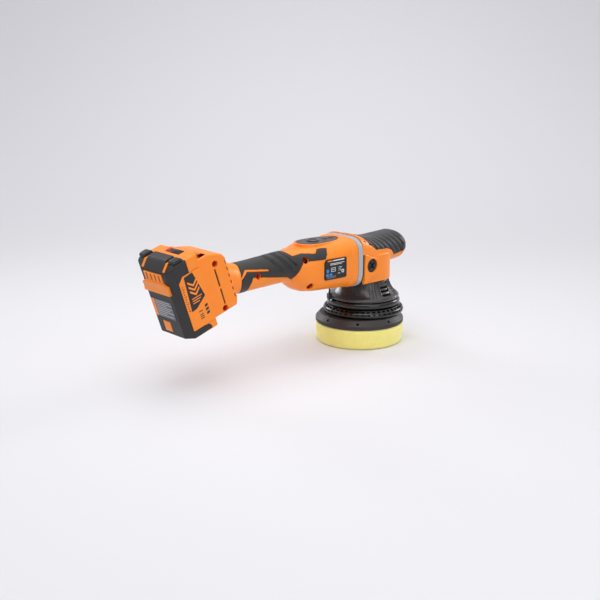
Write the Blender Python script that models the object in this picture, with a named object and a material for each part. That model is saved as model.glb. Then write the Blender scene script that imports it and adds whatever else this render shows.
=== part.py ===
"""Cordless dual action polisher, as an assembly of separate pieces.

Frame: +X runs forward to the palm grip, +Y to the tool's left, +Z up. The origin lies on the
drive spindle's axis, in the plane of the foam pad's working face. Units are metres.
"""
import math

import bmesh
import bpy
from mathutils import Matrix, Vector

# ---- driving dimensions -------------------------------------------------------------------
FIT = 0.00035                    # air left between two pieces that touch
ORBIT = 0.0075                   # pad axis to spindle axis, half of the 15 mm orbit
PAD_X = -ORBIT

FOAM_RADIUS = 0.0625
FOAM_FOOT_RADIUS = 0.0605
FOAM_HEIGHT = 0.0277
FOAM_BORE = 0.0045
PLATE_RADIUS = 0.0625
PLATE_TOP_RADIUS = 0.0565
PLATE_TOP_Z = 0.0408
PLATE_HOLES = 8
PLATE_HOLE_RADIUS = 0.0018

VENT_RADIUS = 0.0573
VENT_Z = (0.0417, 0.0540)
LOBE_RADIUS = 0.0514
LOBE_Z = (0.0545, 0.0618)
SKIRT_RADIUS = 0.0500
SKIRT_Z = 0.0622
SKIRT_SLOTS = 3
SKIRT_SLOT_X = (-0.0055, 0.0105)
SKIRT_SLOT_Z = 0.0690
SKIRT_SLOT_PITCH = 0.0048

MOTOR_Z = 0.1225                 # height of the motor shaft
PINION_TEETH = 10
GEAR_TEETH = 30
GEAR_RADIUS = 0.0215

COVER_BOTTOM_Z = 0.0905
COVER_REAR_X = -0.0397
COVER_HALF_WIDTH = 0.0370
TRIM_X = (-0.0480, -0.0402)
BARREL_FRONT_X = -0.0484
WALL = 0.0030
HOLLOW_TOP_Z = 0.1519            # no section of the hollow is drawn from higher than this

# Outer sections of the motor barrel and handle:
# x, half width, lowest z, highest z, squareness
BARREL_SECTIONS = (
    (-0.2640, 0.0240, 0.0985, 0.1505, 2.3),
    (-0.2460, 0.0215, 0.1020, 0.1465, 2.1),
    (-0.2360, 0.0199, 0.1036, 0.1436, 2.0),
    (-0.2150, 0.0198, 0.1043, 0.1441, 2.0),
    (-0.1900, 0.0202, 0.1053, 0.1459, 2.0),
    (-0.1650, 0.0208, 0.1063, 0.1478, 2.0),
    (-0.1520, 0.0222, 0.1066, 0.1478, 2.1),
    (-0.1460, 0.0258, 0.1035, 0.1478, 2.3),
    (-0.1405, 0.0290, 0.0983, 0.1480, 2.4),
    (-0.1316, 0.0330, 0.0919, 0.1487, 2.6),
    (-0.1226, 0.0352, 0.0903, 0.1505, 2.8),
    (-0.1136, 0.0363, 0.0896, 0.1522, 3.0),
    (-0.0900, 0.0370, 0.0888, 0.1535, 3.3),
    (-0.0680, 0.0378, 0.0875, 0.1548, 3.7),
    (BARREL_FRONT_X, 0.0385, 0.0868, 0.1558, 4.0),
)
# Outer sections of the palm grip, from the trim ring to where its round nose starts
GRIP_SECTIONS = (
    (COVER_REAR_X, 0.0382, 0.1000, 0.1578, 4.0),
    (-0.0260, 0.0375, 0.1000, 0.1545, 3.4),
    (-0.0100, 0.0360, 0.1020, 0.1504, 2.9),
    (0.0080, 0.0335, 0.1050, 0.1484, 2.6),
    (0.0280, 0.0300, 0.1085, 0.1499, 2.4),
    (0.0480, 0.0275, 0.1100, 0.1514, 2.3),
)
NOSE_LENGTH = 0.0245
NOSE_STEPS = 4

# Side view (x, z) of the soft overmould on the handle
OVERMOULD_OUTLINE = (
    (-0.2335, 0.1470), (-0.2337, 0.1417), (-0.2352, 0.1371), (-0.2367, 0.1283),
    (-0.2283, 0.1370), (-0.1928, 0.1329), (-0.1898, 0.1301), (-0.1937, 0.1297),
    (-0.2256, 0.1333), (-0.2360, 0.1245), (-0.2358, 0.1172), (-0.2323, 0.1020),
    (-0.2235, 0.1020), (-0.2215, 0.1156), (-0.2178, 0.1259), (-0.2017, 0.1237),
    (-0.1587, 0.1169), (-0.1514, 0.1126), (-0.1425, 0.1362), (-0.1065, 0.1362),
    (-0.1035, 0.1500), (-0.1200, 0.1500), (-0.1205, 0.1438), (-0.1365, 0.1449),
    (-0.1505, 0.1427), (-0.1544, 0.1500),
)
OVERMOULD_DEPTH = 0.0011
OVERMOULD_PROUD = 0.0004
# Side view (x, z) of the palm grip's rubber cap: everything above this edge
CAP_EDGE = (
    (-0.0275, 0.1540), (-0.0240, 0.1450), (-0.0190, 0.1420), (-0.0095, 0.1355),
    (0.0145, 0.1340), (0.0245, 0.1305), (0.0320, 0.1222), (0.0470, 0.1240), (0.0850, 0.1290),
)
CAP_DEPTH = 0.0024

# Screws that hold the two housing halves together: x, z and how far out their bosses reach
SCREW_PLACES = (
    (-0.1355, 0.1368, 0.0185),
    (-0.1285, 0.1016, 0.0200),
    (-0.2090, 0.1260, 0.0185),
    (-0.2880, 0.1560, 0.0315),
    (-0.2728, 0.0980, 0.0315),
)
SIDE_SCREW = (-0.0225, 0.1155)
SIDE_SCREW_RADIUS = 0.0093

PANEL_X = (-0.1227, -0.0557)
PANEL_HALF_WIDTH = 0.0178
PANEL_Z = (0.1500, 0.1548)
POWER_BUTTON_X = -0.0980
SPEED_BUTTON_X = (-0.0765, -0.0655)
# Side view (x, z) of the rating plate
LABEL_OUTLINE = (
    (-0.1080, 0.1073), (-0.1095, 0.1110), (-0.1095, 0.1300), (-0.1070, 0.1345),
    (-0.0710, 0.1345), (-0.0700, 0.1330), (-0.0700, 0.1085), (-0.0710, 0.1073),
)

STATOR_RADIUS = 0.0238
STATOR_BORE = 0.0148
ROTOR_RADIUS = 0.0141
FAN_RADIUS = 0.0250

# ---- battery frame: t runs forward, s runs up the pack, both tilted --------------------------
PACK_TILT = math.radians(18.4)
PACK_CORNER = (-0.3291, 0.0, 0.0669)
PACK_HALF_WIDTH = 0.0375
PACK_HEIGHT = 0.0980
PACK_SEAM_T = 0.0262
PACK_FACE_T = 0.0440
RAIL_HALF_WIDTH = 0.0200
RAIL_DEPTH = 0.0080
FOOT_HALF_WIDTH = 0.0330
FOOT_OUTLINE = (
    (0.0445, 0.0070), (0.0816, 0.0072), (0.0858, 0.0172), (0.0842, 0.0731),
    (0.0804, 0.0791), (0.0600, 0.0880), (0.0445, 0.0880),
)
# Side view (t, s) of what is cut off the pack's top rear edge, and how far below that
# line its hollow stops
PACK_CHAMFER = ((-0.0010, 0.08755), (0.0121, 0.1000))
CHAMFER_WALL = 0.0032
DISPLAY_T = (0.0339, 0.0426)
CELL_RADIUS = 0.0090
CELL_PITCH = 0.0184
CELL_ROWS = 5

ORANGE = (0.87, 0.22, 0.012)
BLACK = (0.022, 0.022, 0.024)
GLOSS_BLACK = (0.012, 0.012, 0.013)
GREY_BLACK = (0.065, 0.058, 0.056)
STEEL = (0.45, 0.45, 0.46)
SILVER_GREY = (0.42, 0.46, 0.52)
FOAM_YELLOW = (0.80, 0.72, 0.23)


# ---- scene and modelling helpers --------------------------------------------------------------
def clear_scene():
    for thing in list(bpy.data.objects):
        bpy.data.objects.remove(thing, do_unlink=True)


def finish(thing, colour, roughness=0.5, metallic=0.0):
    """Give a piece its own Principled material."""
    material = bpy.data.materials.new(thing.name + "_finish")
    material.use_nodes = True
    shader = material.node_tree.nodes["Principled BSDF"]
    shader.inputs["Base Color"].default_value = (*colour, 1.0)
    shader.inputs["Roughness"].default_value = roughness
    shader.inputs["Metallic"].default_value = metallic
    thing.data.materials.append(material)


def as_object(name, bm, place=(0, 0, 0), parent=None):
    """Turn a bmesh into a named object, faces outwards, placed in the world or under a parent."""
    bmesh.ops.remove_doubles(bm, verts=bm.verts, dist=1e-7)
    bmesh.ops.recalc_face_normals(bm, faces=bm.faces)
    mesh = bpy.data.meshes.new(name)
    bm.to_mesh(mesh)
    bm.free()
    mesh.shade_smooth()
    mesh.set_sharp_from_angle(angle=math.radians(35))
    thing = bpy.data.objects.new(name, mesh)
    bpy.context.collection.objects.link(thing)
    thing.location = place
    thing.parent = parent
    return thing


def guide(thing):
    """Mark an object that only shapes others."""
    thing.hide_render = True
    thing.display_type = "WIRE"
    return thing


def combine(target, tool, operation):
    modifier = target.modifiers.new(operation.lower(), "BOOLEAN")
    modifier.operation = operation
    modifier.solver = "EXACT"
    modifier.object = guide(tool)


def cut(target, tool):
    combine(target, tool, "DIFFERENCE")


def keep_inside(target, tool):
    combine(target, tool, "INTERSECT")


def join(target, tool):
    combine(target, tool, "UNION")


def axis_empty(name, place, tilt=0.0, parent=None):
    """An empty on a joint's axis, or at the corner of a tilted frame."""
    empty = bpy.data.objects.new(name, None)
    bpy.context.collection.objects.link(empty)
    empty.location = place
    empty.rotation_euler = (0, -tilt, 0)
    empty.parent = parent
    return empty


def turned(profile, segments=32, closed=True, along="Z"):
    """Spin a profile of (radius, height) points about Z, or about X when along is X."""
    bm = bmesh.new()
    points = [bm.verts.new((radius, 0, height)) for radius, height in profile]
    pairs = list(zip(points, points[1:]))
    if closed:
        pairs.append((points[-1], points[0]))
    edges = [bm.edges.new(pair) for pair in pairs]
    bmesh.ops.spin(bm, geom=points + edges, axis=(0, 0, 1), cent=(0, 0, 0),
                   angle=math.tau, steps=segments, use_merge=True)
    if along == "X":
        bm.transform(Matrix.Rotation(math.pi / 2, 4, "Y"))
    return bm


def tube(inner, outer, low, high, segments=24, along="Z"):
    profile = ((inner, low), (outer, low), (outer, high), (inner, high))
    return turned(profile, segments, along=along)


def rod(radius, low, high, segments=16, along="Z"):
    profile = ((0, low), (radius, low), (radius, high), (0, high))
    return turned(profile, segments, closed=False, along=along)


def prism(outline, low, high, plane="XZ"):
    """Extrude a flat outline: XZ outlines along Y, XY outlines along Z, YZ outlines along X."""
    order = {"XZ": (0, 2, 1), "XY": (0, 1, 2), "YZ": (1, 2, 0)}[plane]

    def point(pair, depth):
        place = [0.0, 0.0, 0.0]
        place[order[0]], place[order[1]], place[order[2]] = pair[0], pair[1], depth
        return place

    bm = bmesh.new()
    face = bm.faces.new([bm.verts.new(point(pair, low)) for pair in outline])
    moved = bmesh.ops.extrude_face_region(bm, geom=[face])
    shift = Vector(point((0, 0), high - low))
    ends = [item for item in moved["geom"] if isinstance(item, bmesh.types.BMVert)]
    bmesh.ops.translate(bm, verts=ends, vec=shift)
    return bm


def block(low, high, bevel=0.0):
    """A box between two corners, with its edges bevelled if asked."""
    bm = bmesh.new()
    bmesh.ops.create_cube(bm, size=1.0)
    size = Vector(high) - Vector(low)
    middle = (Vector(high) + Vector(low)) / 2
    bmesh.ops.scale(bm, vec=size, verts=bm.verts)
    bmesh.ops.translate(bm, vec=middle, verts=bm.verts)
    if bevel:
        bmesh.ops.bevel(bm, geom=bm.edges[:], offset=bevel, segments=1, profile=0.5,
                        affect="EDGES", material=-1)
    return bm


def section_ring(bm, x, half_width, low, high, squareness, count):
    """One upright superellipse ring of vertices at x."""
    middle = (low + high) / 2
    tall = (high - low) / 2
    ring = []
    for index in range(count):
        angle = math.tau * index / count
        c, s = math.cos(angle), math.sin(angle)
        y = math.copysign(abs(c) ** (2 / squareness), c) * half_width
        z = math.copysign(abs(s) ** (2 / squareness), s) * tall
        ring.append(bm.verts.new((x, y, middle + z)))
    return ring


def skin(bm, rings):
    """Join rings of equal count into a closed body."""
    count = len(rings[0])
    for first, second in zip(rings, rings[1:]):
        for index in range(count):
            after = (index + 1) % count
            bm.faces.new((first[index], first[after], second[after], second[index]))
    bm.faces.new(rings[0])
    bm.faces.new(rings[-1])


def loft(sections, count, grow=0.0):
    """A closed body through upright sections, grown outwards or inwards by grow."""
    bm = bmesh.new()
    rings = []
    for x, half_width, low, high, squareness in sections:
        rings.append(section_ring(bm, x, half_width + grow, low - grow, high + grow,
                                  squareness, count))
    skin(bm, rings)
    return bm


def widened(outline, amount):
    """The same outline with every edge moved outwards by amount."""
    count = len(outline)
    area = sum(outline[i][0] * outline[(i + 1) % count][1] - outline[(i + 1) % count][0] * outline[i][1]
               for i in range(count))
    turn = math.copysign(1.0, area)
    result = []
    for index, here in enumerate(outline):
        here = Vector(here)
        before = (here - Vector(outline[index - 1])).normalized()
        after = (Vector(outline[(index + 1) % count]) - here).normalized()
        normal_a = Vector((before.y, -before.x)) * turn
        normal_b = Vector((after.y, -after.x)) * turn
        middle = normal_a + normal_b
        result.append(tuple(here + middle * (amount / max(0.35, 1 + normal_a.dot(normal_b)))))
    return result


def half_ring(bm, x, half_width, low, high, squareness, side, count):
    """Half a superellipse ring on one side of the parting plane, closed along that plane."""
    middle = (low + high) / 2
    tall = (high - low) / 2
    ring = []
    for index in range(count + 1):
        angle = math.pi * (index / count - 0.5)
        c, s = max(0.0, math.cos(angle)), math.sin(angle)
        y = max(FIT / 2, c ** (2 / squareness) * half_width)
        z = math.copysign(abs(s) ** (2 / squareness), s) * tall
        ring.append(bm.verts.new((x, side * y, middle + z)))
    return ring


# ---- shapes shared by several pieces -----------------------------------------------------------
def barrel_loft(grow, count=24):
    return loft(BARREL_SECTIONS, count, grow)


def barrel_half_loft(side, grow, count=12):
    """One side of the barrel and handle, solid, stopping at the parting plane."""
    bm = bmesh.new()
    rings = [half_ring(bm, x, half + grow, low - grow, high + grow, square, side, count)
             for x, half, low, high, square in BARREL_SECTIONS]
    skin(bm, rings)
    return bm


def nose_sections(grow):
    """Sections of the palm grip's round nose, closing over NOSE_LENGTH, grown by grow."""
    x, half_width, low, high, squareness = GRIP_SECTIONS[-1]
    axis_z = low + 0.42 * (high - low)
    low, high = low - grow, high + grow
    sections = []
    for step in range(1, NOSE_STEPS + 1):
        angle = 0.94 * math.pi / 2 * step / NOSE_STEPS
        keep = math.cos(angle)
        sections.append((x + (NOSE_LENGTH + grow) * math.sin(angle), (half_width + grow) * keep,
                         axis_z - (axis_z - low) * keep, axis_z + (high - axis_z) * keep,
                         squareness - 0.3 * step / NOSE_STEPS))
    return sections


def grip_loft(grow, count=24):
    """The palm grip's solid shape, grown by grow."""
    sections = [(x, half + grow, low - grow, high + grow, square)
                for x, half, low, high, square in GRIP_SECTIONS]
    return loft(sections + nose_sections(grow), count)


def from_parting(side, reach):
    """The lowest and highest y of something that reaches from the parting plane outwards."""
    return tuple(sorted((side * FIT / 2, side * reach)))


def overmould_prism(side, extra):
    low, high = ((-0.060, -0.0002) if side < 0 else (0.0002, 0.060))
    return prism(widened(OVERMOULD_OUTLINE, extra), low, high)


def cap_prism(extra):
    outline = CAP_EDGE + ((0.0850, 0.1700), (-0.0275, 0.1700))
    return prism(widened(outline, extra), -0.060, 0.060)


def panel_outline(grow=0.0, count=24):
    """Egg outline of the control panel, blunter at the rear."""
    middle = sum(PANEL_X) / 2
    half = (PANEL_X[1] - PANEL_X[0]) / 2
    points = []
    for index in range(count):
        angle = math.tau * index / count
        c, s = math.cos(angle), math.sin(angle)
        width = PANEL_HALF_WIDTH * (1 - 0.16 * c)
        x = middle + (half + grow) * math.copysign(abs(c) ** 0.8, c)
        y = (width + grow) * math.copysign(abs(s) ** 0.8, s)
        points.append((x, y))
    return points


def cross_rod(bm, radius, x, z, low, high, segments=12):
    """Add a cylinder across the tool, from y = low to y = high."""
    turn = Matrix.Translation((x, (low + high) / 2, z)) @ Matrix.Rotation(math.pi / 2, 4, "X")
    bmesh.ops.create_cone(bm, cap_ends=True, segments=segments, radius1=radius,
                          radius2=radius, depth=high - low, matrix=turn)


def screw_bores(name, radius, low, high, segments=12):
    """A bore across the tool at each housing screw."""
    bm = bmesh.new()
    for x, z, _ in SCREW_PLACES:
        cross_rod(bm, radius, x, z, low, high, segments)
    return as_object(name, bm)


def screw_bosses(name, side):
    """Posts from just inside the parting plane out to the wall."""
    bm = bmesh.new()
    for x, z, reach in SCREW_PLACES:
        cross_rod(bm, 0.0062, x, z, *sorted((side * 0.0005, side * reach)))
    return as_object(name, bm)


# ---- housing ------------------------------------------------------------------------------------
def foot_body(name, side):
    """One side of the battery foot, solid, from its side outline."""
    foot = as_object(name, prism(FOOT_OUTLINE, *from_parting(side, FOOT_HALF_WIDTH)), PACK_CORNER)
    foot.rotation_euler = (0, -PACK_TILT, 0)
    return foot


def rail_channel(name):
    """The T slot in the foot, open at the top, that the battery's rail slides in."""
    neck = RAIL_HALF_WIDTH + 0.0006
    wide = neck + 0.0040
    outline = ((0.0400, -neck), (0.0400, neck), (0.0480, neck), (0.0480, wide),
               (0.0530, wide), (0.0530, -wide), (0.0480, -wide), (0.0480, -neck))
    channel = as_object(name, prism(outline, 0.0100, 0.1000, "XY"), PACK_CORNER)
    channel.rotation_euler = (0, -PACK_TILT, 0)
    return channel


def foot_cavity(name):
    """Room in the foot for the terminal block, open to the rail channel and the handle."""
    cavity = as_object(name, block((0.0560, -0.0290, 0.0110), (0.0815, 0.0290, 0.0705)), PACK_CORNER)
    cavity.rotation_euler = (0, -PACK_TILT, 0)
    return cavity


def terminal_window(name):
    window = as_object(name, block((0.0500, -0.0150, 0.0123), (0.0600, 0.0150, 0.0400)), PACK_CORNER)
    window.rotation_euler = (0, -PACK_TILT, 0)
    return window


def inner_hollow(name):
    """The hollow of barrel and handle, open at the barrel's front."""
    sections = [(x, half, low, min(high, HOLLOW_TOP_Z), square)
                for x, half, low, high, square in BARREL_SECTIONS]
    sections.append((BARREL_FRONT_X + 0.010,) + sections[-1][1:])
    return as_object(name, loft(sections, 16, -WALL))


def housing_half(name, side):
    """One clamshell half: barrel, handle and foot in one moulding."""
    half = as_object(name, barrel_half_loft(side, 0.0))
    join(half, foot_body(name + "_foot_tool", side))
    cut(half, inner_hollow(name + "_hollow_tool"))
    cut(half, foot_cavity(name + "_foot_cavity_tool"))
    join(half, screw_bosses(name + "_boss_tool", side))
    cut(half, rail_channel(name + "_rail_tool"))
    cut(half, terminal_window(name + "_terminal_tool"))
    cut(half, as_object(name + "_panel_tool",
                        prism(panel_outline(FIT), PANEL_Z[0] - FIT, 0.170, "XY")))
    recess = as_object(name + "_recess_tool", barrel_loft(0.004))
    cut(recess, as_object(name + "_recess_core", barrel_loft(-OVERMOULD_DEPTH - FIT)))
    keep_inside(recess, as_object(name + "_recess_prism", overmould_prism(side, FIT)))
    cut(half, recess)
    if side < 0:
        cut(half, screw_bores(name + "_counterbore", 0.0041, -0.0500, -0.0080))
        cut(half, screw_bores(name + "_clearance", 0.0019, -0.0100, 0.0100, 8))
        cut(half, as_object(name + "_label_tool", label_body(FIT)))
    else:
        cut(half, screw_bores(name + "_thread", 0.0019, -0.0100, 0.0125, 8))
    finish(half, ORANGE, 0.38)
    return half


def label_body(grow):
    """A thin rating plate let into the barrel's right side."""
    return prism(widened(LABEL_OUTLINE, grow), -0.0374 - 20 * grow, -0.0358 + grow)


def housing():
    housing_half("housing_right", -1)
    housing_half("housing_left", 1)
    plate = as_object("rating_plate", label_body(0.0))
    finish(plate, BLACK, 0.35)


def overmoulds():
    """Soft grip skins, one on each half, let into the moulding."""
    for name, side in (("handle_grip_right", -1), ("handle_grip_left", 1)):
        skin = as_object(name, barrel_loft(OVERMOULD_PROUD))
        cut(skin, as_object(name + "_core", barrel_loft(-OVERMOULD_DEPTH)))
        keep_inside(skin, as_object(name + "_prism", overmould_prism(side, 0.0)))
        if side < 0:
            cut(skin, screw_bores(name + "_screw_tool", 0.0043, -0.0500, -0.0080))
        finish(skin, BLACK, 0.75)


def housing_screws():
    """Pan-head screws, all one pattern, sunk in the right half."""
    profile = ((0, 0.0075), (0.0016, 0.0075), (0.0016, -0.0083), (0.0034, -0.0083),
               (0.0034, -0.0103), (0.0022, -0.0112), (0, -0.0112))
    pattern = None
    for number, (x, z, _) in enumerate(SCREW_PLACES, 1):
        name = "housing_screw_%d" % number
        if pattern is None:
            bm = turned(profile, 10, closed=False)
            bm.transform(Matrix.Rotation(-math.pi / 2, 4, "X"))
            screw = as_object(name, bm, (x, 0, z))
            finish(screw, STEEL, 0.35, 1.0)
            pattern = screw.data
        else:
            screw = bpy.data.objects.new(name, pattern)
            bpy.context.collection.objects.link(screw)
            screw.location = (x, 0, z)


# ---- head ---------------------------------------------------------------------------------------
def neck_outline(grow, steps=10):
    """Plan of the head cover's neck: straight at the rear, half round in front."""
    half = COVER_HALF_WIDTH + grow
    rear = COVER_REAR_X
    points = [(rear, -half)]
    for step in range(steps + 1):
        angle = -math.pi / 2 + math.pi * step / steps
        points.append((half * math.cos(angle), half * math.sin(angle)))
    points.append((rear, half))
    return points


def head_cover():
    """The orange shell over the gear housing, with the palm grip's frame on top."""
    cover = as_object("head_cover", grip_loft(0.0))
    join(cover, as_object("neck_tool", prism(neck_outline(0.0), COVER_BOTTOM_Z, 0.1290, "XY")))
    cut(cover, as_object("gear_room_tool", prism(neck_outline(-0.0029), 0.0800, 0.1290, "XY")))
    cut(cover, as_object("gear_room_top_tool", rod(0.0285, 0.1200, 0.1402, 24)))
    rear = as_object("cover_rear_tool", prism(((-0.0500, -0.0335), (-0.0500, 0.0335),
                                               (-0.0300, 0.0335), (-0.0300, -0.0335)),
                                              0.0800, 0.1500, "XY"))
    cut(cover, rear)
    recess = as_object("cap_recess_tool", grip_loft(0.004))
    cut(recess, as_object("cap_recess_core", grip_loft(-CAP_DEPTH - FIT)))
    keep_inside(recess, as_object("cap_recess_prism", cap_prism(FIT)))
    cut(cover, recess)
    x, z = SIDE_SCREW
    bore = rod(SIDE_SCREW_RADIUS + FIT, -0.06, 0.06, 20)
    bore.transform(Matrix.Translation((x, 0, z)) @ Matrix.Rotation(math.pi / 2, 4, "X"))
    cut(cover, as_object("side_screw_bore", bore))
    finish(cover, ORANGE, 0.38)


def palm_grip():
    """The ribbed rubber cap on top of the palm grip."""
    cap = as_object("palm_grip", grip_loft(0.0003))
    cut(cap, as_object("palm_grip_core", grip_loft(-CAP_DEPTH)))
    keep_inside(cap, as_object("palm_grip_prism", cap_prism(0.0)))
    finish(cap, BLACK, 0.7)


def trim_ring():
    """Grey band between the barrel and the head cover."""
    front = BARREL_SECTIONS[-1][1:]
    ring = as_object("trim_ring", loft([(x,) + front for x in TRIM_X], 28, 0.0006))
    core = loft([(x,) + front for x in (-0.060, -0.030)], 28, -0.0042)
    cut(ring, as_object("trim_ring_core", core))
    finish(ring, SILVER_GREY, 0.4, 0.3)


def side_screws():
    """Side handle screws with a cross recess, one on each side of the head."""
    x, z = SIDE_SCREW
    for name, side in (("side_screw_right", -1), ("side_screw_left", 1)):
        profile = ((0, 0.0345), (0.0040, 0.0345), (0.0040, 0.0348), (SIDE_SCREW_RADIUS, 0.0348),
                   (SIDE_SCREW_RADIUS, 0.0378), (0.0080, 0.0384), (0, 0.0384))
        bm = turned(profile, 20, closed=False)
        bm.transform(Matrix.Rotation(-side * math.pi / 2, 4, "X"))
        screw = as_object(name, bm, (x, 0, z))
        for turn in (math.radians(35), math.radians(125)):
            slot = block((-0.0055, -0.0009, 0.0364), (0.0055, 0.0009, 0.0400))
            slot.transform(Matrix.Rotation(-side * math.pi / 2, 4, "X") @ Matrix.Rotation(turn, 4, "Z"))
            cut(screw, as_object(name + "_slot", slot, (x, 0, z)))
        finish(screw, BLACK, 0.5)


def gear_housing():
    """Cast gear case: flared skirt below, bearing seats and gear room inside the cover."""
    outer = ((0.0475, SKIRT_Z), (SKIRT_RADIUS, 0.0640), (0.0498, 0.0665), (0.0440, 0.0705),
             (0.0395, 0.0760), (0.0362, 0.0830), (0.0345, 0.0885), (0.0334, 0.0898),
             (0.0334, 0.1205), (0.0280, 0.1284), (0.0255, 0.1345), (0.0150, 0.1393), (0, 0.1393))
    inner = ((0, 0.1372), (0.0118, 0.1372), (0.0118, 0.1318), (0.0230, 0.1318), (0.0300, 0.1190),
             (0.0300, 0.0960), (0.0175, 0.0960), (0.0175, 0.0850), (0.0130, 0.0850), (0.0130, 0.0790),
             (0.0330, 0.0760), (0.0455, 0.0640))
    case = as_object("gear_housing", turned(inner + outer, 26, closed=False))
    mouth = rod(0.0172, -0.0600, -0.0240, 20, along="X")
    mouth.transform(Matrix.Translation((0, 0, MOTOR_Z)))
    cut(case, as_object("motor_mouth_tool", mouth))
    for side in (-1, 1):
        for row in range(SKIRT_SLOTS):
            z = SKIRT_SLOT_Z + SKIRT_SLOT_PITCH * row
            low, high = sorted((side * 0.0310, side * 0.0600))
            slot = block((SKIRT_SLOT_X[0], low, z), (SKIRT_SLOT_X[1], high, z + SKIRT_SLOT_PITCH / 2))
            cut(case, as_object("skirt_slot_tool", slot))
    finish(case, GREY_BLACK, 0.45, 0.2)


def shroud():
    """Glossy shroud in two steps: a smooth lobe, and a vented ring over the backing plate."""
    low, high = LOBE_Z
    middle = (low + high) / 2
    lobe = ((0.0455, low), (0.0500, low), (LOBE_RADIUS, middle), (0.0500, high), (0.0455, high))
    ring = as_object("shroud_lobe", turned(lobe, 32))
    finish(ring, GLOSS_BLACK, 0.12)
    low, high = VENT_Z
    vent = ((0.0490, low), (0.0565, low), (VENT_RADIUS, low + 0.0040), (0.0560, low + 0.0085),
            (0.0515, high), (0.0455, high), (0.0455, high - 0.0030))
    ring = as_object("vent_ring", turned(vent, 32))
    finish(ring, GLOSS_BLACK, 0.15)


def shroud_stay():
    """Thin rod that stays the shroud to the barrel, and the clip at its foot."""
    turn = math.radians(162.5)
    place = (0.0535 * math.cos(turn), 0.0535 * math.sin(turn), 0)
    clip = as_object("stay_clip", block((-0.0028, -0.0040, 0.0628), (0.0028, 0.0040, 0.0705), 0.0006),
                     place)
    clip.rotation_euler = (0, 0, turn)
    cut(clip, as_object("stay_clip_bore", rod(0.0017, 0.05, 0.08, 6), place))
    finish(clip, BLACK, 0.5)
    stay = as_object("stay_rod", rod(0.0013, 0.0610, 0.0862, 6), place)
    finish(stay, BLACK, 0.4, 0.6)


# ---- controls -------------------------------------------------------------------------------------
def controls():
    """Control panel on top of the barrel, its buttons and its lamp lens."""
    panel = as_object("control_panel", prism(panel_outline(), PANEL_Z[0], PANEL_Z[1], "XY"))
    cut(panel, as_object("power_hole", rod(0.0093, PANEL_Z[0] + 0.0012, 0.17, 20),
                         (POWER_BUTTON_X, 0, 0)))
    for x in SPEED_BUTTON_X:
        cut(panel, as_object("speed_hole", rod(0.0041, PANEL_Z[0] + 0.0012, 0.17, 12), (x, 0, 0)))
    slot = block((-0.0868, -0.0075, PANEL_Z[0] + 0.0016), (-0.0832, 0.0075, 0.17))
    cut(panel, as_object("lamp_slot", slot))
    finish(panel, BLACK, 0.4)
    button = as_object("power_button", turned(((0, -0.0011), (0.0088, -0.0011), (0.0088, 0.0008),
                                               (0.0070, 0.0015), (0, 0.0015)), 20, closed=False),
                       (POWER_BUTTON_X, 0, PANEL_Z[1] - 0.0001))
    finish(button, GREY_BLACK, 0.15)
    for name, x in zip(("speed_down_button", "speed_up_button"), SPEED_BUTTON_X):
        button = as_object(name, rod(0.0037, -0.0012, 0.0007, 12), (x, 0, PANEL_Z[1]))
        finish(button, GREY_BLACK, 0.3)
    lens = as_object("lamp_lens", block((-0.0864, -0.0071, PANEL_Z[1] - 0.0016),
                                        (-0.0836, 0.0071, PANEL_Z[1] + 0.0002)))
    finish(lens, (0.12, 0.13, 0.14), 0.1)
    board = as_object("control_board", block((-0.1060, -0.0100, 0.1466), (-0.0640, 0.0100, 0.1477)))
    finish(board, (0.02, 0.12, 0.05), 0.5)


# ---- motor ----------------------------------------------------------------------------------------
def motor():
    """Brushless motor along X with its fan and pinion; everything on the shaft turns together."""
    axis = axis_empty("motor_axis", (0, 0, MOTOR_Z))
    spots = (("motor_stator", tube(STATOR_BORE, STATOR_RADIUS, -0.1130, -0.0740, 28, "X"), STEEL),
             ("motor_bearing_rear", tube(0.0043, 0.0095, -0.1250, -0.1190, 20, "X"), STEEL),
             ("motor_bearing_front", tube(0.0053, 0.0130, -0.0450, -0.0370, 20, "X"), STEEL))
    for name, bm, colour in spots:
        finish(as_object(name, bm, (0, 0, MOTOR_Z)), colour, 0.35, 1.0)
    seat = tube(0.0134, 0.0168, -0.0480, -0.0330, 20, "X")
    finish(as_object("bearing_seat", seat, (0, 0, MOTOR_Z)), STEEL, 0.5, 1.0)
    cradle = tube(0.0099, 0.0135, -0.1260, -0.1185, 20, "X")
    finish(as_object("rear_bearing_boot", cradle, (0, 0, MOTOR_Z)), BLACK, 0.8)
    finish(as_object("motor_rotor", tube(0.0043, ROTOR_RADIUS, -0.1110, -0.0760, 24, "X"), parent=axis),
           (0.30, 0.30, 0.32), 0.4, 1.0)
    finish(as_object("motor_fan", fan_wheel(), parent=axis), GREY_BLACK, 0.6)
    shaft = turned(((0, -0.1270), (0.0040, -0.1270), (0.0040, -0.0480), (0.0050, -0.0480),
                    (0.0050, -0.0300), (0.0042, -0.0300), (0.0042, -0.0135), (0, -0.0135)),
                   16, closed=False, along="X")
    finish(as_object("motor_shaft", shaft, parent=axis), STEEL, 0.25, 1.0)
    finish(as_object("drive_pinion", pinion_body(), parent=axis), STEEL, 0.3, 1.0)


def fan_wheel():
    """Hub and back plate of the cooling fan."""
    profile = ((0.0043, -0.0610), (FAN_RADIUS, -0.0610), (FAN_RADIUS, -0.0590), (0.0085, -0.0580),
               (0.0080, -0.0520), (0.0043, -0.0520))
    return turned(profile, 20, along="X")


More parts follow.
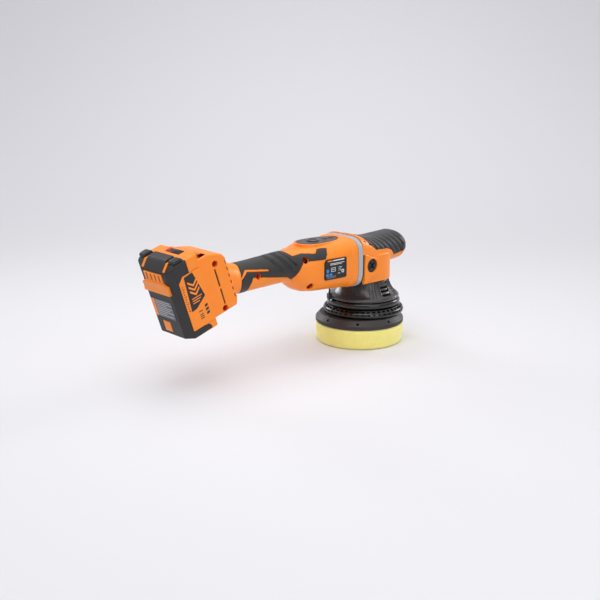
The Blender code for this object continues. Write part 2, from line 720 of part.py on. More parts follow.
def toothed_cone(teeth, small, large, low, high, depth, bore, fill=0.5):
    """A bevel wheel: radius runs from small at low to large at high, with straight teeth."""
    bm = bmesh.new()
    rings = []
    for radius, height in ((small, low), (large, high)):
        ring = []
        for tooth in range(teeth):
            for part, reach in ((-0.5 * fill, 0), (-0.22, depth), (0.22, depth), (0.5 * fill, 0)):
                angle = math.tau * (tooth + part) / teeth
                ring.append(bm.verts.new(((radius + reach * radius / large) * math.cos(angle),
                                          (radius + reach * radius / large) * math.sin(angle),
                                          height)))
        rings.append(ring)
    bores = [[bm.verts.new((bore * math.cos(math.tau * tooth / teeth),
                            bore * math.sin(math.tau * tooth / teeth), height))
              for tooth in range(teeth)] for height in (low, high)]
    count = len(rings[0])
    for index in range(count):
        after = (index + 1) % count
        bm.faces.new((rings[0][index], rings[0][after], rings[1][after], rings[1][index]))
    for tooth in range(teeth):
        after = (tooth + 1) % teeth
        bm.faces.new((bores[0][tooth], bores[1][tooth], bores[1][after], bores[0][after]))
        for ring, inner in zip(rings, bores):
            rim = [ring[(4 * tooth + part) % count] for part in range(5)]
            bm.faces.new(rim + [inner[after], inner[tooth]])
    return bm


def pinion_body():
    pitch = GEAR_RADIUS * PINION_TEETH / GEAR_TEETH
    bm = toothed_cone(PINION_TEETH, pitch * 0.62, pitch * 0.92, 0.0145, 0.0215, 0.0012, 0.0045, 0.8)
    bm.transform(Matrix.Rotation(-math.pi / 2, 4, "Y"))
    return bm


def gear_body():
    """The crown wheel; its teeth pass just clear of the pinion's."""
    pitch_drop = GEAR_RADIUS * PINION_TEETH / GEAR_TEETH
    top = MOTOR_Z - pitch_drop - 0.0018
    bm = toothed_cone(GEAR_TEETH, GEAR_RADIUS, GEAR_RADIUS + 0.0010, top - 0.0075, top - 0.0010,
                      0.0012, 0.0074, 0.9)
    return bm


# ---- drive, pad --------------------------------------------------------------------------------
def drive():
    """Spindle with its eccentric hub, counterweight, crown wheel and bearings."""
    axis = axis_empty("drive_axis", (0, 0, 0))
    spindle = turned(((0, 0.0605), (0.0125, 0.0605), (0.0125, 0.0775), (0.0085, 0.0775),
                      (0.0085, 0.0965), (0.0070, 0.0965), (0.0070, 0.1270), (0.0045, 0.1270),
                      (0.0045, 0.1350), (0, 0.1350)), 20, closed=False)
    spindle = as_object("drive_spindle", spindle, parent=axis)
    hub = as_object("eccentric_hub_tool", tube(0.0112, 0.0165, 0.0445, 0.0605, 24), (PAD_X, 0, 0))
    join(spindle, hub)
    cap = as_object("eccentric_cap_tool", rod(0.0165, 0.0570, 0.0640, 24), (PAD_X, 0, 0))
    join(spindle, cap)
    finish(spindle, STEEL, 0.3, 1.0)
    weight = prism(counterweight_outline(), 0.0470, 0.0595, "XY")
    finish(as_object("counterweight", weight, parent=axis), STEEL, 0.5, 1.0)
    finish(as_object("crown_gear", gear_body(), parent=axis), STEEL, 0.3, 1.0)
    bearings = (("spindle_bearing_lower", tube(0.0089, 0.0171, 0.0856, 0.0955, 24)),
                ("spindle_bearing_upper", tube(0.0049, 0.0114, 0.1285, 0.1355, 20)))
    for name, bm in bearings:
        finish(as_object(name, bm), STEEL, 0.25, 1.0)


def counterweight_outline(steps=10):
    """A thick arc of steel opposite the pad's offset."""
    spread = math.radians(72)
    outer = [(0.0400 * math.cos(a), 0.0400 * math.sin(a))
             for a in (spread * (2 * i / steps - 1) for i in range(steps + 1))]
    inner = [(PAD_X + 0.0169 * math.cos(a), 0.0169 * math.sin(a))
             for a in (math.radians(80) * (1 - 2 * i / steps) for i in range(steps + 1))]
    return outer + inner


def pad():
    """Backing plate, its spindle, bearing and screw, and the foam pad: all turn on the pad axis."""
    axis = axis_empty("pad_axis", (PAD_X, 0, 0))
    bearing = tube(0.0056, 0.0108, 0.0460, 0.0560, 20)
    finish(as_object("pad_bearing", bearing, (PAD_X, 0, 0)), STEEL, 0.25, 1.0)
    spindle = turned(((0, 0.0345), (0.0052, 0.0345), (0.0052, 0.0565), (0, 0.0565)), 16, closed=False)
    finish(as_object("pad_spindle", spindle, parent=axis), STEEL, 0.3, 1.0)
    profile = ((0.0026, 0.0281), (PLATE_RADIUS - 0.0010, 0.0281), (PLATE_RADIUS, 0.0295),
               (PLATE_RADIUS, 0.0335), (PLATE_TOP_RADIUS, PLATE_TOP_Z), (0.0440, PLATE_TOP_Z),
               (0.0400, 0.0340), (0.0120, 0.0340), (0.0120, 0.0435), (0.0056, 0.0435),
               (0.0056, 0.0341), (0.0026, 0.0341))
    plate = as_object("backing_plate", turned(profile, 28), parent=axis)
    for number in range(PLATE_HOLES):
        angle = math.tau * (number + 0.96) / PLATE_HOLES
        hole = rod(PLATE_HOLE_RADIUS, -0.006, 0.006, 6)
        hole.transform(Matrix.Rotation(angle, 4, "Z") @ Matrix.Translation((0.0600, 0, 0.0370))
                       @ Matrix.Rotation(math.radians(40), 4, "Y"))
        cut(plate, as_object("plate_hole_tool", hole, parent=axis))
    finish(plate, GREY_BLACK, 0.55)
    screw = turned(((0, 0.0290), (0.0022, 0.0290), (0.0022, 0.0342), (0, 0.0342)), 10, closed=False)
    finish(as_object("pad_screw", screw, parent=axis), STEEL, 0.3, 1.0)
    foam = turned(((FOAM_BORE, 0), (FOAM_FOOT_RADIUS - 0.0020, 0), (FOAM_FOOT_RADIUS, 0.0020),
                   (FOAM_RADIUS, FOAM_HEIGHT), (FOAM_BORE, FOAM_HEIGHT)), 32)
    finish(as_object("foam_pad", foam, parent=axis), FOAM_YELLOW, 0.95)


# ---- battery ---------------------------------------------------------------------------------------
def case_outline():
    """Plan (t, y) of the pack's rear case, its rear corners cut back."""
    half = PACK_HALF_WIDTH
    return ((0.0, -0.0245), (0.0068, -half), (PACK_SEAM_T, -half), (PACK_SEAM_T, half),
            (0.0068, half), (0.0, 0.0245))


def shell_outline():
    """Plan (t, y) of the pack's front shell with its T rail."""
    half = PACK_HALF_WIDTH
    seam = PACK_SEAM_T + FIT
    rail = RAIL_HALF_WIDTH
    lip = rail + 0.0036
    front = PACK_FACE_T + RAIL_DEPTH
    return ((seam, -half), (PACK_FACE_T - 0.0020, -half), (PACK_FACE_T, -half + 0.0020),
            (PACK_FACE_T, -rail), (0.0486, -rail), (0.0486, -lip), (front, -lip),
            (front, lip), (0.0486, lip), (0.0486, rail), (PACK_FACE_T, rail),
            (PACK_FACE_T, half - 0.0020), (PACK_FACE_T - 0.0020, half), (seam, half))


def side_panel_outline(grow=0.0):
    """Side view (t, s) of a side panel, its top rear corner cut off."""
    outline = ((0.0082, 0.0095), (0.0082, 0.0740), (0.0155, 0.0810), (0.0425, 0.0810),
               (0.0425, 0.0095))
    return widened(outline, grow)


def side_panel_body(side, grow):
    low, high = sorted((side * (PACK_HALF_WIDTH - 0.0012 - grow),
                        side * (PACK_HALF_WIDTH + (0.004 if grow else 0.0003))))
    return prism(side_panel_outline(grow), low, high)


def chamfer_tool(name, frame, drop):
    """What is cut off the pack's top rear edge, drop below its line."""
    outline = tuple((t, s - drop) for t, s in PACK_CHAMFER) + ((-0.0010, 0.1000),)
    return as_object(name, prism(outline, -0.0400, 0.0400), parent=frame)


def battery():
    """The slide-on pack and everything that rides in it."""
    frame = axis_empty("battery_frame", PACK_CORNER, PACK_TILT)

    case = as_object("battery_case", prism(case_outline(), 0.0, PACK_HEIGHT, "XY"), parent=frame)
    hollow = ((0.0022, -0.0262), (0.0062, -0.0345), (0.0300, -0.0345),
              (0.0300, 0.0345), (0.0062, 0.0345), (0.0022, 0.0262))
    hollow = as_object("case_hollow_tool", prism(hollow, 0.0022, 0.0952, "XY"), parent=frame)
    cut(hollow, chamfer_tool("hollow_chamfer_tool", frame, CHAMFER_WALL))
    cut(case, hollow)
    cut(case, chamfer_tool("case_chamfer_tool", frame, 0.0))
    join(case, as_object("case_crown_tool", block((0.0085, -0.0195, 0.0960), (0.0235, 0.0195, 0.1010)),
                         parent=frame))
    latch_hole = prism(latch_outline(FIT), -0.01, 0.0050, "YZ")
    cut(case, as_object("latch_hole_tool", latch_hole, parent=frame))
    for side in (-1, 1):
        cut(case, as_object("panel_recess_tool", side_panel_body(side, FIT), parent=frame))
    window = block((-0.001, -0.0200, 0.0240), (0.0006, 0.0280, 0.0500))
    cut(case, as_object("rear_label_recess", window, parent=frame))
    finish(case, BLACK, 0.55)

    shell = as_object("battery_shell", prism(shell_outline(), 0.0, PACK_HEIGHT, "XY"), parent=frame)
    hollow = block((0.0200, -0.0345, 0.0022), (0.0420, 0.0345, 0.0952))
    cut(shell, as_object("shell_hollow_tool", hollow, parent=frame))
    for low, high in ((-0.0010, 0.0108), (0.0870, 0.0990)):
        ends = block((PACK_FACE_T, -0.04, low), (0.060, 0.04, high))
        cut(shell, as_object("rail_end_tool", ends, parent=frame))
    for y in (-0.0105, -0.0035, 0.0035, 0.0105):
        slot = block((0.0455, y - 0.0011, 0.0000), (0.0560, y + 0.0011, 0.0330))
        cut(shell, as_object("terminal_slot_tool", slot, parent=frame))
    for side in (-1, 1):
        cut(shell, as_object("shell_recess_tool", side_panel_body(side, FIT), parent=frame))
    rear, front = DISPLAY_T
    gauge_recess = block((rear - 0.0004, -0.0146, 0.0968), (front + 0.0004, 0.0146, 0.1000))
    cut(shell, as_object("gauge_recess_tool", gauge_recess, parent=frame))
    finish(shell, ORANGE, 0.4)

    for name, side in (("battery_panel_right", -1), ("battery_panel_left", 1)):
        finish(as_object(name, side_panel_body(side, 0.0), parent=frame), ORANGE, 0.4)
    for name, side in (("battery_bumper_right", -1), ("battery_bumper_left", 1)):
        low, high = sorted((side * 0.0245, side * 0.0365))
        bumper = block((0.0100, low, PACK_HEIGHT + FIT), (0.0240, high, 0.1030), 0.0012)
        finish(as_object(name, bumper, parent=frame), BLACK, 0.5)
    label = block((-0.0002, -0.0196, 0.0244), (0.0002, 0.0276, 0.0496))
    finish(as_object("battery_rear_label", label, parent=frame), SILVER_GREY, 0.4)
    finish(as_object("latch_button", latch_body(), parent=frame), ORANGE, 0.4)
    lens = block((rear, -0.0142, 0.0972), (front, 0.0070, 0.0986))
    finish(as_object("gauge_lens", lens, parent=frame), GLOSS_BLACK, 0.15)
    button = block((rear + 0.0006, 0.0080, 0.0980), (front - 0.0006, 0.0138, 0.0992))
    finish(as_object("gauge_button", button, parent=frame), (0.5, 0.02, 0.01), 0.4)
    cells(frame)


def latch_outline(grow=0.0):
    """Face (y, s) of the release button, wider at its lower lip."""
    outline = ((-0.0260, 0.0605), (0.0260, 0.0605), (0.0260, 0.0725), (0.0185, 0.0765),
               (0.0185, 0.0876), (-0.0185, 0.0876), (-0.0185, 0.0765), (-0.0260, 0.0725))
    return widened(outline, grow)


def latch_body():
    """Release button: a ribbed plate with a finger lip along its lower edge."""
    return prism(latch_outline(), -0.0030, 0.0018, "YZ")


def cells(frame):
    """Ten round cells between two carrier plates, as one welded block."""
    plates = as_object("cell_block", block((0.0075, 0.0240, 0.0040), (0.0405, 0.0275, 0.0900)),
                       parent=frame)
    join(plates, as_object("carrier_tool", block((0.0075, -0.0275, 0.0040), (0.0405, -0.0240, 0.0900)),
                           parent=frame))
    bm = bmesh.new()
    for layer in (0.0146, 0.0146 + CELL_PITCH):
        for row in range(CELL_ROWS):
            spot = Vector((layer, 0, 0.0120 + CELL_PITCH * row))
            turn = Matrix.Translation(spot) @ Matrix.Rotation(math.pi / 2, 4, "X")
            bmesh.ops.create_cone(bm, cap_ends=True, segments=8, radius1=CELL_RADIUS,
                                  radius2=CELL_RADIUS, depth=0.0650, matrix=turn)
    join(plates, as_object("cells_tool", bm, parent=frame))
    finish(plates, (0.05, 0.22, 0.32), 0.4)


def terminals():
    """Terminal block in the foot, its four blades standing in the pack's slots."""
    frame = axis_empty("foot_frame", PACK_CORNER, PACK_TILT)
    body = block((0.0565, -0.0140, 0.0195), (0.0620, 0.0140, 0.0335))
    body = as_object("terminal_block", body, parent=frame)
    for y in (-0.0105, -0.0035, 0.0035, 0.0105):
        blade = block((0.0480, y - 0.0005, 0.0200), (0.0580, y + 0.0005, 0.0320))
        join(body, as_object("blade_tool", blade, parent=frame))
    finish(body, BLACK, 0.5)


def main():
    clear_scene()
    housing()
    overmoulds()
    housing_screws()
    head_cover()
    palm_grip()
    trim_ring()
    side_screws()
    gear_housing()
    shroud()
    shroud_stay()
    controls()
    motor()
    drive()
    pad()
    battery()
    terminals()


main()
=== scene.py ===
"""Dual action polisher: the finished look of every piece, modelled around its fixed CAD frame."""

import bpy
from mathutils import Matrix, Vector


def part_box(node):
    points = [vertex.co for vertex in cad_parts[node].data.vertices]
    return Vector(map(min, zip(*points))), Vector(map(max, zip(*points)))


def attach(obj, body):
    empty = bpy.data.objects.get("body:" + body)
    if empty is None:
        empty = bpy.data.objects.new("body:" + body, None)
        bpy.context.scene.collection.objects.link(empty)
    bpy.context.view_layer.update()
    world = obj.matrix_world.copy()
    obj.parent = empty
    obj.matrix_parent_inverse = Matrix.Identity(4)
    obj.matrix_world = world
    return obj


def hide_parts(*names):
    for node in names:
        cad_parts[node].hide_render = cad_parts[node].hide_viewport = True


bl_info = {
    "name": "Dual Action Polisher",
    "version": (1, 0, 0),
    "blender": (4, 5, 0),
    "location": "3D View > Sidebar > Polisher",
    "description": "Builds a cordless dual action polisher piece by piece",
    "category": "Add Mesh",
}

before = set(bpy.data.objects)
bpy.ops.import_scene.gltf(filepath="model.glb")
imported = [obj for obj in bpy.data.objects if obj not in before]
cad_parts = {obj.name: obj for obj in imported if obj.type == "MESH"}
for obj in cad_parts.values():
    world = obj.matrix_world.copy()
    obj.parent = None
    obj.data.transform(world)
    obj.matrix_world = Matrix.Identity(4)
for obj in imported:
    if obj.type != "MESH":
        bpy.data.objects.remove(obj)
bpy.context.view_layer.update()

import math

import bmesh
import bpy
from bpy.props import FloatProperty, FloatVectorProperty, IntProperty, PointerProperty
from mathutils import Matrix, Vector, noise

MM = 0.001
FIT = 0.00035                     # gap between neighbouring pieces
PAD_CENTRE = (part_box("backing_plate")[0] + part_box("backing_plate")[1]) / 2
PACK_TILT = math.radians(18.4)
PACK = Matrix.Translation((-0.3291, 0, 0.0669)) @ Matrix.Rotation(-PACK_TILT, 4, "Y")

# Outer sections: x, half width, lowest z, highest z, squareness of the rounded outline
BARREL = (
    (-0.2640, 0.0240, 0.0985, 0.1505, 2.3),
    (-0.2460, 0.0215, 0.1020, 0.1465, 2.1),
    (-0.2360, 0.0199, 0.1036, 0.1436, 2.0),
    (-0.2150, 0.0198, 0.1043, 0.1441, 2.0),
    (-0.1900, 0.0202, 0.1053, 0.1459, 2.0),
    (-0.1650, 0.0208, 0.1063, 0.1478, 2.0),
    (-0.1520, 0.0222, 0.1066, 0.1478, 2.1),
    (-0.1460, 0.0258, 0.1035, 0.1478, 2.3),
    (-0.1405, 0.0290, 0.0983, 0.1480, 2.4),
    (-0.1316, 0.0330, 0.0919, 0.1487, 2.6),
    (-0.1226, 0.0352, 0.0903, 0.1505, 2.8),
    (-0.1136, 0.0363, 0.0896, 0.1522, 3.0),
    (-0.0900, 0.0370, 0.0888, 0.1535, 3.3),
    (-0.0680, 0.0373, 0.0880, 0.1546, 3.6),
    (-0.0605, 0.0374, 0.0879, 0.1549, 3.8),
    (-0.0572, 0.0386, 0.0868, 0.1556, 4.0),
    (-0.0484, 0.0387, 0.0866, 0.1558, 4.0),
)
GRIP = (
    (-0.0397, 0.0382, 0.1000, 0.1578, 4.0),
    (-0.0260, 0.0375, 0.1000, 0.1545, 3.4),
    (-0.0100, 0.0360, 0.1020, 0.1504, 2.9),
    (0.0080, 0.0335, 0.1050, 0.1484, 2.6),
    (0.0280, 0.0300, 0.1085, 0.1499, 2.4),
    (0.0480, 0.0275, 0.1100, 0.1514, 2.3),
)
NOSE_LENGTH = 0.0234
NOSE_AXIS = 0.42                  # height of the nose's axis in its section
NOSE_CLOSING = 0.995              # how far round the quarter turn the nose goes
AROUND = 96
ALONG = 110

OVERMOULD = (
    (-0.2335, 0.1470), (-0.2337, 0.1417), (-0.2352, 0.1371), (-0.2367, 0.1283),
    (-0.2283, 0.1370), (-0.1928, 0.1329), (-0.1898, 0.1301), (-0.1937, 0.1297),
    (-0.2256, 0.1333), (-0.2360, 0.1245), (-0.2358, 0.1172), (-0.2323, 0.1020),
    (-0.2235, 0.1020), (-0.2215, 0.1156), (-0.2178, 0.1259), (-0.2017, 0.1237),
    (-0.1587, 0.1169), (-0.1514, 0.1126), (-0.1392, 0.1362), (-0.1065, 0.1362),
    (-0.0990, 0.1487), (-0.1125, 0.1487), (-0.1195, 0.1438), (-0.1355, 0.1449),
    (-0.1492, 0.1427), (-0.1544, 0.1500),
)
OVERMOULD_DEPTH = 0.0011
OVERMOULD_PROUD = 0.0004
CAP_EDGE = (
    (-0.0275, 0.1540), (-0.0240, 0.1450), (-0.0190, 0.1420), (-0.0095, 0.1355),
    (0.0145, 0.1340), (0.0245, 0.1305), (0.0320, 0.1222), (0.0470, 0.1240), (0.0850, 0.1290),
    (0.0850, 0.1700), (-0.0275, 0.1700),
)
CAP_DEPTH = 0.0024
SIDES = (("right", -1), ("left", 1))
SCREW_PLACES = ((-0.1355, 0.1368), (-0.1285, 0.1016), (-0.2090, 0.1260), (-0.2880, 0.1560),
                (-0.2728, 0.0980))
SIDE_SCREW = (-0.0225, 0.1155)
SIDE_SCREW_RADIUS = 0.0093
BOSS = ((-0.0388, 0.0912), (-0.0380, 0.1331), (-0.0107, 0.1232), (-0.0098, 0.1035))
NOTCH = ((-0.0410, 0.0890), (-0.0366, 0.0890), (-0.0384, 0.0990), (-0.0410, 0.1030))
FOOT = ((0.0445, 0.0070), (0.0816, 0.0072), (0.0858, 0.0172), (0.0842, 0.0731),
        (0.0804, 0.0791), (0.0600, 0.0880), (0.0445, 0.0880))
FOOT_HALF_WIDTH = 0.0330
FOOT_SLITS = ((0.0170, 0.0385), (0.0415, 0.0655))     # the side slits' lower and upper ends
FOOT_SLOTS = [0.0190 + 0.0092 * row for row in range(6)]     # feet of the edge slots
PANEL_X = (-0.1227, -0.0557)
PANEL_HALF_WIDTH = 0.0178
PANEL_Z = (0.1500, 0.1548)
HOLLOW_TOP = 0.1519               # the hollow is drawn from no higher than this
POWER_X = -0.0980
SPEED_X = (-0.0765, -0.0655)
LABEL = ((-0.1080, 0.1073), (-0.1095, 0.1110), (-0.1095, 0.1300), (-0.1070, 0.1345),
         (-0.0710, 0.1345), (-0.0700, 0.1330), (-0.0700, 0.1085), (-0.0710, 0.1073))
PACK_HALF_WIDTH = 0.0375
PACK_HEIGHT = 0.0980
PACK_SEAM = 0.0262
PACK_FACE = 0.0440


# ---- colour and node helpers ----
def linear(code):
    """Linear colour of an sRGB hex code."""
    parts = [int(code[i:i + 2], 16) / 255 for i in (0, 2, 4)]
    return [p / 12.92 if p <= 0.04045 else ((p + 0.055) / 1.055) ** 2.4 for p in parts]


def scaled(colour, amount):
    """The colour made lighter or darker, opaque."""
    return [min(1.0, channel * amount) for channel in colour[:3]] + [1.0]


def add(tree, kind, sockets=None, **settings):
    """Add one node, set its properties, and fill its sockets with values or links."""
    node = tree.nodes.new(kind)
    for key, value in settings.items():
        setattr(node, key, value)
    for key, value in (sockets or {}).items():
        if isinstance(value, bpy.types.NodeSocket):
            tree.links.new(value, node.inputs[key])
        else:
            node.inputs[key].default_value = value
    return node


def started(name):
    """A new material's tree, with its shader, and the piece's own place as pattern space."""
    material = bpy.data.materials.new(name)
    material.use_nodes = True
    tree = material.node_tree
    shader = tree.nodes["Principled BSDF"]
    place = tree.nodes.new("ShaderNodeTexCoord").outputs["Object"]
    return material, tree, shader, place


def mixed(tree, factor, first, second):
    """The colour between two, at factor."""
    node = add(tree, "ShaderNodeMix", {"Factor": factor}, data_type="RGBA")
    for socket, colour in ((node.inputs[6], first), (node.inputs[7], second)):
        if isinstance(colour, bpy.types.NodeSocket):
            tree.links.new(colour, socket)
        else:
            socket.default_value = scaled(colour, 1.0)
    return node.outputs[2]


def spread(tree, value, low, high, start=0.0, end=1.0):
    """value mapped from start..end to low..high."""
    return add(tree, "ShaderNodeMapRange", {"Value": value, "From Min": start, "From Max": end,
                                            "To Min": low, "To Max": high}).outputs["Result"]


def grain(tree, place, size_mm, detail=2.0, rough=0.5):
    """Noise whose features are about size_mm across."""
    return add(tree, "ShaderNodeTexNoise", {"Vector": place, "Scale": 1000.0 / size_mm,
                                            "Detail": detail, "Roughness": rough}).outputs["Fac"]


def surfaced(material, tint=None, rough=None, **plain):
    """Link a material's tint and roughness, and set its plain values; returns the material."""
    tree = material.node_tree
    shader = tree.nodes["Principled BSDF"]
    if tint is not None:
        tree.links.new(tint, shader.inputs["Base Color"])
    if rough is not None:
        tree.links.new(rough, shader.inputs["Roughness"])
    for key, value in plain.items():
        shader.inputs[SOCKETS[key]].default_value = value
    return material


SOCKETS = {"ior": "IOR", "dull": "Roughness", "metal": "Metallic", "coat": "Coat Weight",
           "coat_rough": "Coat Roughness", "sheen": "Sheen Weight",
           "sheen_rough": "Sheen Roughness", "specular": "Specular IOR Level"}


def relief(tree, shader, height, depth_mm, strength=1.0):
    """Bump from height, depth_mm from its lowest to its highest."""
    bump = add(tree, "ShaderNodeBump", {"Height": height, "Distance": depth_mm * MM,
                                        "Strength": strength})
    tree.links.new(bump.outputs["Normal"], shader.inputs["Normal"])


def moulded(name, colour, rough, grain_mm=0.7, grain_depth=0.02, mottle=0.05, ior=1.5,
            swing=0.06):
    """A moulded polymer: its tint drifts a little, and an eroded mould gives it a fine grain."""
    material, tree, shader, place = started(name)
    cloud = grain(tree, place, 22.0, 3.0)
    fine = grain(tree, place, grain_mm, 2.0)
    tint = mixed(tree, cloud, scaled(colour, 1 - mottle), scaled(colour, 1 + mottle))
    relief(tree, shader, fine, grain_depth)
    return surfaced(material, tint, spread(tree, fine, rough - swing, rough + swing, 0.3, 0.7),
                    ior=ior)


# ---- materials ----
def orange_abs(colour):
    """ABS, moulded in a finely eroded tool: a warm satin face with broad soft highlights."""
    return moulded("abs_orange", colour, 0.40, 0.8, 0.018, 0.035, 1.53, 0.05)


def hole_shade_abs(colour):
    """The same ABS with painted shade, darker, redder and dull, for the inside of sunk holes."""
    return moulded("abs_orange_painted_hole_shade", colour, 0.55, 0.8, 0.018, 0.05, 1.53, 0.05)


def soft_tpe(colour):
    """TPE overmould, dull and slightly grey at a glance, with a fine leathery grain."""
    return surfaced(moulded("tpe_black", colour, 0.56, 0.9, 0.05, 0.10, 1.5, 0.07),
                    sheen=0.12, sheen_rough=0.5)


def glass_nylon(colour):
    """Glass-filled nylon, moulded: dark grey, with faint fibre streaks and a dry satin face."""
    material, tree, shader, place = started("glass_filled_nylon_black")
    streaks = add(tree, "ShaderNodeMapping", {"Vector": place, "Scale": (0.25, 1.0, 1.0)})
    fibre = grain(tree, streaks.outputs["Vector"], 1.1, 3.0, 0.6)
    cloud = grain(tree, place, 30.0)
    tint = mixed(tree, cloud, scaled(colour, 0.90), scaled(colour, 1.12))
    tint = mixed(tree, spread(tree, fibre, 0.0, 0.35, 0.55, 0.8), tint, scaled(colour, 1.9))
    relief(tree, shader, fibre, 0.03)
    return surfaced(material, tint, spread(tree, fibre, 0.44, 0.58), ior=1.53)


def gloss_polycarbonate(colour):
    """Polycarbonate, moulded in a polished tool: near black, mirror-like, with a faint waviness."""
    material, tree, shader, place = started("polycarbonate_gloss_black")
    wave = grain(tree, place, 6.0, 1.0)
    haze = grain(tree, place, 14.0, 4.0)
    tint = mixed(tree, haze, scaled(colour, 0.8), scaled(colour, 1.3))
    relief(tree, shader, wave, 0.03)
    return surfaced(material, tint, spread(tree, haze, 0.07, 0.17, 0.35, 0.7), ior=1.58)


def coated_casting(colour):
    """Die-cast aluminium under a satin powder coat: brownish black with an orange-peel skin."""
    material, tree, shader, place = started("powder_coat_black")
    peel = grain(tree, place, 1.4, 1.5)
    cloud = grain(tree, place, 18.0, 3.0)
    tint = mixed(tree, cloud, scaled(colour, 0.85), scaled(colour, 1.18))
    relief(tree, shader, peel, 0.035)
    return surfaced(material, tint, spread(tree, peel, 0.24, 0.36, 0.3, 0.7), coat=0.5,
                    coat_rough=0.18)


def plate_nylon(colour):
    """Turned nylon backing plate: grey-brown, with faint rings left by the cutter."""
    material, tree, shader, place = started("nylon_turned")
    centred = add(tree, "ShaderNodeMapping", {"Vector": place, "Location": (-PAD_CENTRE.x, 0, 0)})
    # Cutter marks are 0.3 mm apart; they are drawn 1.2 mm apart so that they show.
    rings = add(tree, "ShaderNodeTexWave", {"Vector": centred.outputs["Vector"],
                                            "Scale": 1000 / 1.2 / 6.3, "Distortion": 0.6,
                                            "Detail": 1.0},
                wave_type="RINGS", rings_direction="Z")
    cloud = grain(tree, place, 16.0, 3.0)
    tint = mixed(tree, cloud, scaled(colour, 0.9), scaled(colour, 1.12))
    relief(tree, shader, rings.outputs["Fac"], 0.012)
    return surfaced(material, tint, spread(tree, rings.outputs["Fac"], 0.44, 0.56))


def open_foam(colour):
    """Open-cell polyurethane foam: dull and porous, with painted shade darkening the inside of its
    cells.
    """
    material, tree, shader, place = started("polyurethane_foam_yellow")
    # Cells are 0.4 mm across; they are drawn 1.1 mm across so that they show.
    cells = add(tree, "ShaderNodeTexVoronoi", {"Vector": place, "Scale": 1000 / 1.1})
    pores = spread(tree, cells.outputs["Distance"], 0.0, 1.0, 0.1, 0.55)
    cloud = grain(tree, place, 9.0, 4.0)
    tint = mixed(tree, cloud, scaled(colour, 0.93), scaled(colour, 1.05))
    # painted shade: the colour darkens inside each cell
    tint = mixed(tree, pores, scaled(colour, 0.86), tint)
    relief(tree, shader, pores, 0.22, 0.7)
    return surfaced(material, tint, dull=0.95, sheen=0.25, sheen_rough=0.6, specular=0.2)


def loop_cloth(colour):
    """Brushed nylon loop cloth glued to the foam: pale, matt and fuzzy."""
    return surfaced(moulded("nylon_loop_cloth", colour, 0.92, 0.8, 0.12, 0.08, 1.45, 0.05),
                    sheen=0.3)


def painted_trim(colour):
    """ABS band under a fine silver-grey paint, with tiny bright flakes."""
    material, tree, shader, place = started("silver_painted_abs")
    flake = add(tree, "ShaderNodeTexVoronoi", {"Vector": place, "Scale": 1000 / 0.5})
    sparkle = spread(tree, flake.outputs["Distance"], 0.9, 1.12, 0.0, 0.6)
    tint = add(tree, "ShaderNodeVectorMath", {0: colour[:3]}, operation="SCALE")
    tree.links.new(sparkle, tint.inputs["Scale"])
    return surfaced(material, tint.outputs["Vector"],
                    spread(tree, grain(tree, place, 12.0), 0.34, 0.46), metal=0.25)


def plated_steel():
    """Zinc-plated steel: cool grey, with fine brushed streaks."""
    material, tree, shader, place = started("zinc_plated_steel")
    brushed = add(tree, "ShaderNodeMapping", {"Vector": place, "Scale": (1.0, 1.0, 0.12)})
    streak = grain(tree, brushed.outputs["Vector"], 0.8, 3.0)
    tint = mixed(tree, streak, linear("8f9296"), linear("c3c5c8"))
    relief(tree, shader, streak, 0.008)
    return surfaced(material, tint, spread(tree, streak, 0.22, 0.38), metal=1.0)


def blackened_steel():
    """Black-oxide steel rod: dark, slightly oily, with a soft shine."""
    return surfaced(moulded("black_oxide_steel", linear("2a2a2c"), 0.34, 1.0, 0.01, 0.12, 1.5,
                            0.06), metal=0.8)


def smoked_lens():
    """Smoked polycarbonate light window: dark and very smooth."""
    return moulded("polycarbonate_smoked", linear("4b5157"), 0.09, 3.0, 0.004, 0.1, 1.58, 0.03)


def printed(name, colour, rough=0.42):
    """Ink on polyester film: even, with a faint screen-print texture."""
    return moulded(name, linear(colour), rough, 0.9, 0.006, 0.04, 1.5, 0.04)


# ---- mesh helpers ----
def object_from(bm, name):
    """A new object with the bmesh as its mesh; the bmesh is freed."""
    bmesh.ops.recalc_face_normals(bm, faces=bm.faces)
    mesh = bpy.data.meshes.new(name)
    bm.to_mesh(mesh)
    bm.free()
    thing = bpy.data.objects.new(name, mesh)
    bpy.context.scene.collection.objects.link(thing)
    return thing


def carve(target, tool, operation="DIFFERENCE"):
    """Apply one exact Boolean and delete its tool."""
    step = target.modifiers.new("carve", "BOOLEAN")
    step.operation = operation
    step.solver = "EXACT"
    step.object = tool
    depsgraph = bpy.context.evaluated_depsgraph_get()
    result = bpy.data.meshes.new_from_object(target.evaluated_get(depsgraph))
    target.modifiers.clear()
    target.data = result
    bpy.data.objects.remove(tool)
    if not result.polygons:
        raise RuntimeError(target.name + " was carved away")


def edited(thing, change, *values):
    """Run one bmesh edit on an object's mesh."""
    bm = bmesh.new()
    bm.from_mesh(thing.data)
    change(bm, *values)
    bm.to_mesh(thing.data)
    bm.free()


def coloured(thing, material):
    """Give a mesh its one material."""
    thing.data.materials.clear()
    thing.data.materials.append(material)


def finished(thing, material, body, slot=None, replaces=(), bevel=0.0, segments=2, angle=35.0):
    """Give a piece its material, rounded edges and smooth shading, and tie it to the frame."""
    coloured(thing, material)
    for polygon in thing.data.polygons:
        polygon.material_index = 0
        polygon.use_smooth = True
    if bevel:
        edge = thing.modifiers.new("rounded_edges", "BEVEL")
        edge.width = bevel
        edge.segments = segments
        edge.limit_method = "ANGLE"
        edge.angle_limit = math.radians(angle)
        edge.use_clamp_overlap = False
        even = thing.modifiers.new("even_shading", "WEIGHTED_NORMAL")
        even.keep_sharp = True
    else:
        thing.data.set_sharp_from_angle(angle=math.radians(angle))
    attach(thing, body)
    if replaces:
        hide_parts(*replaces)
    return thing


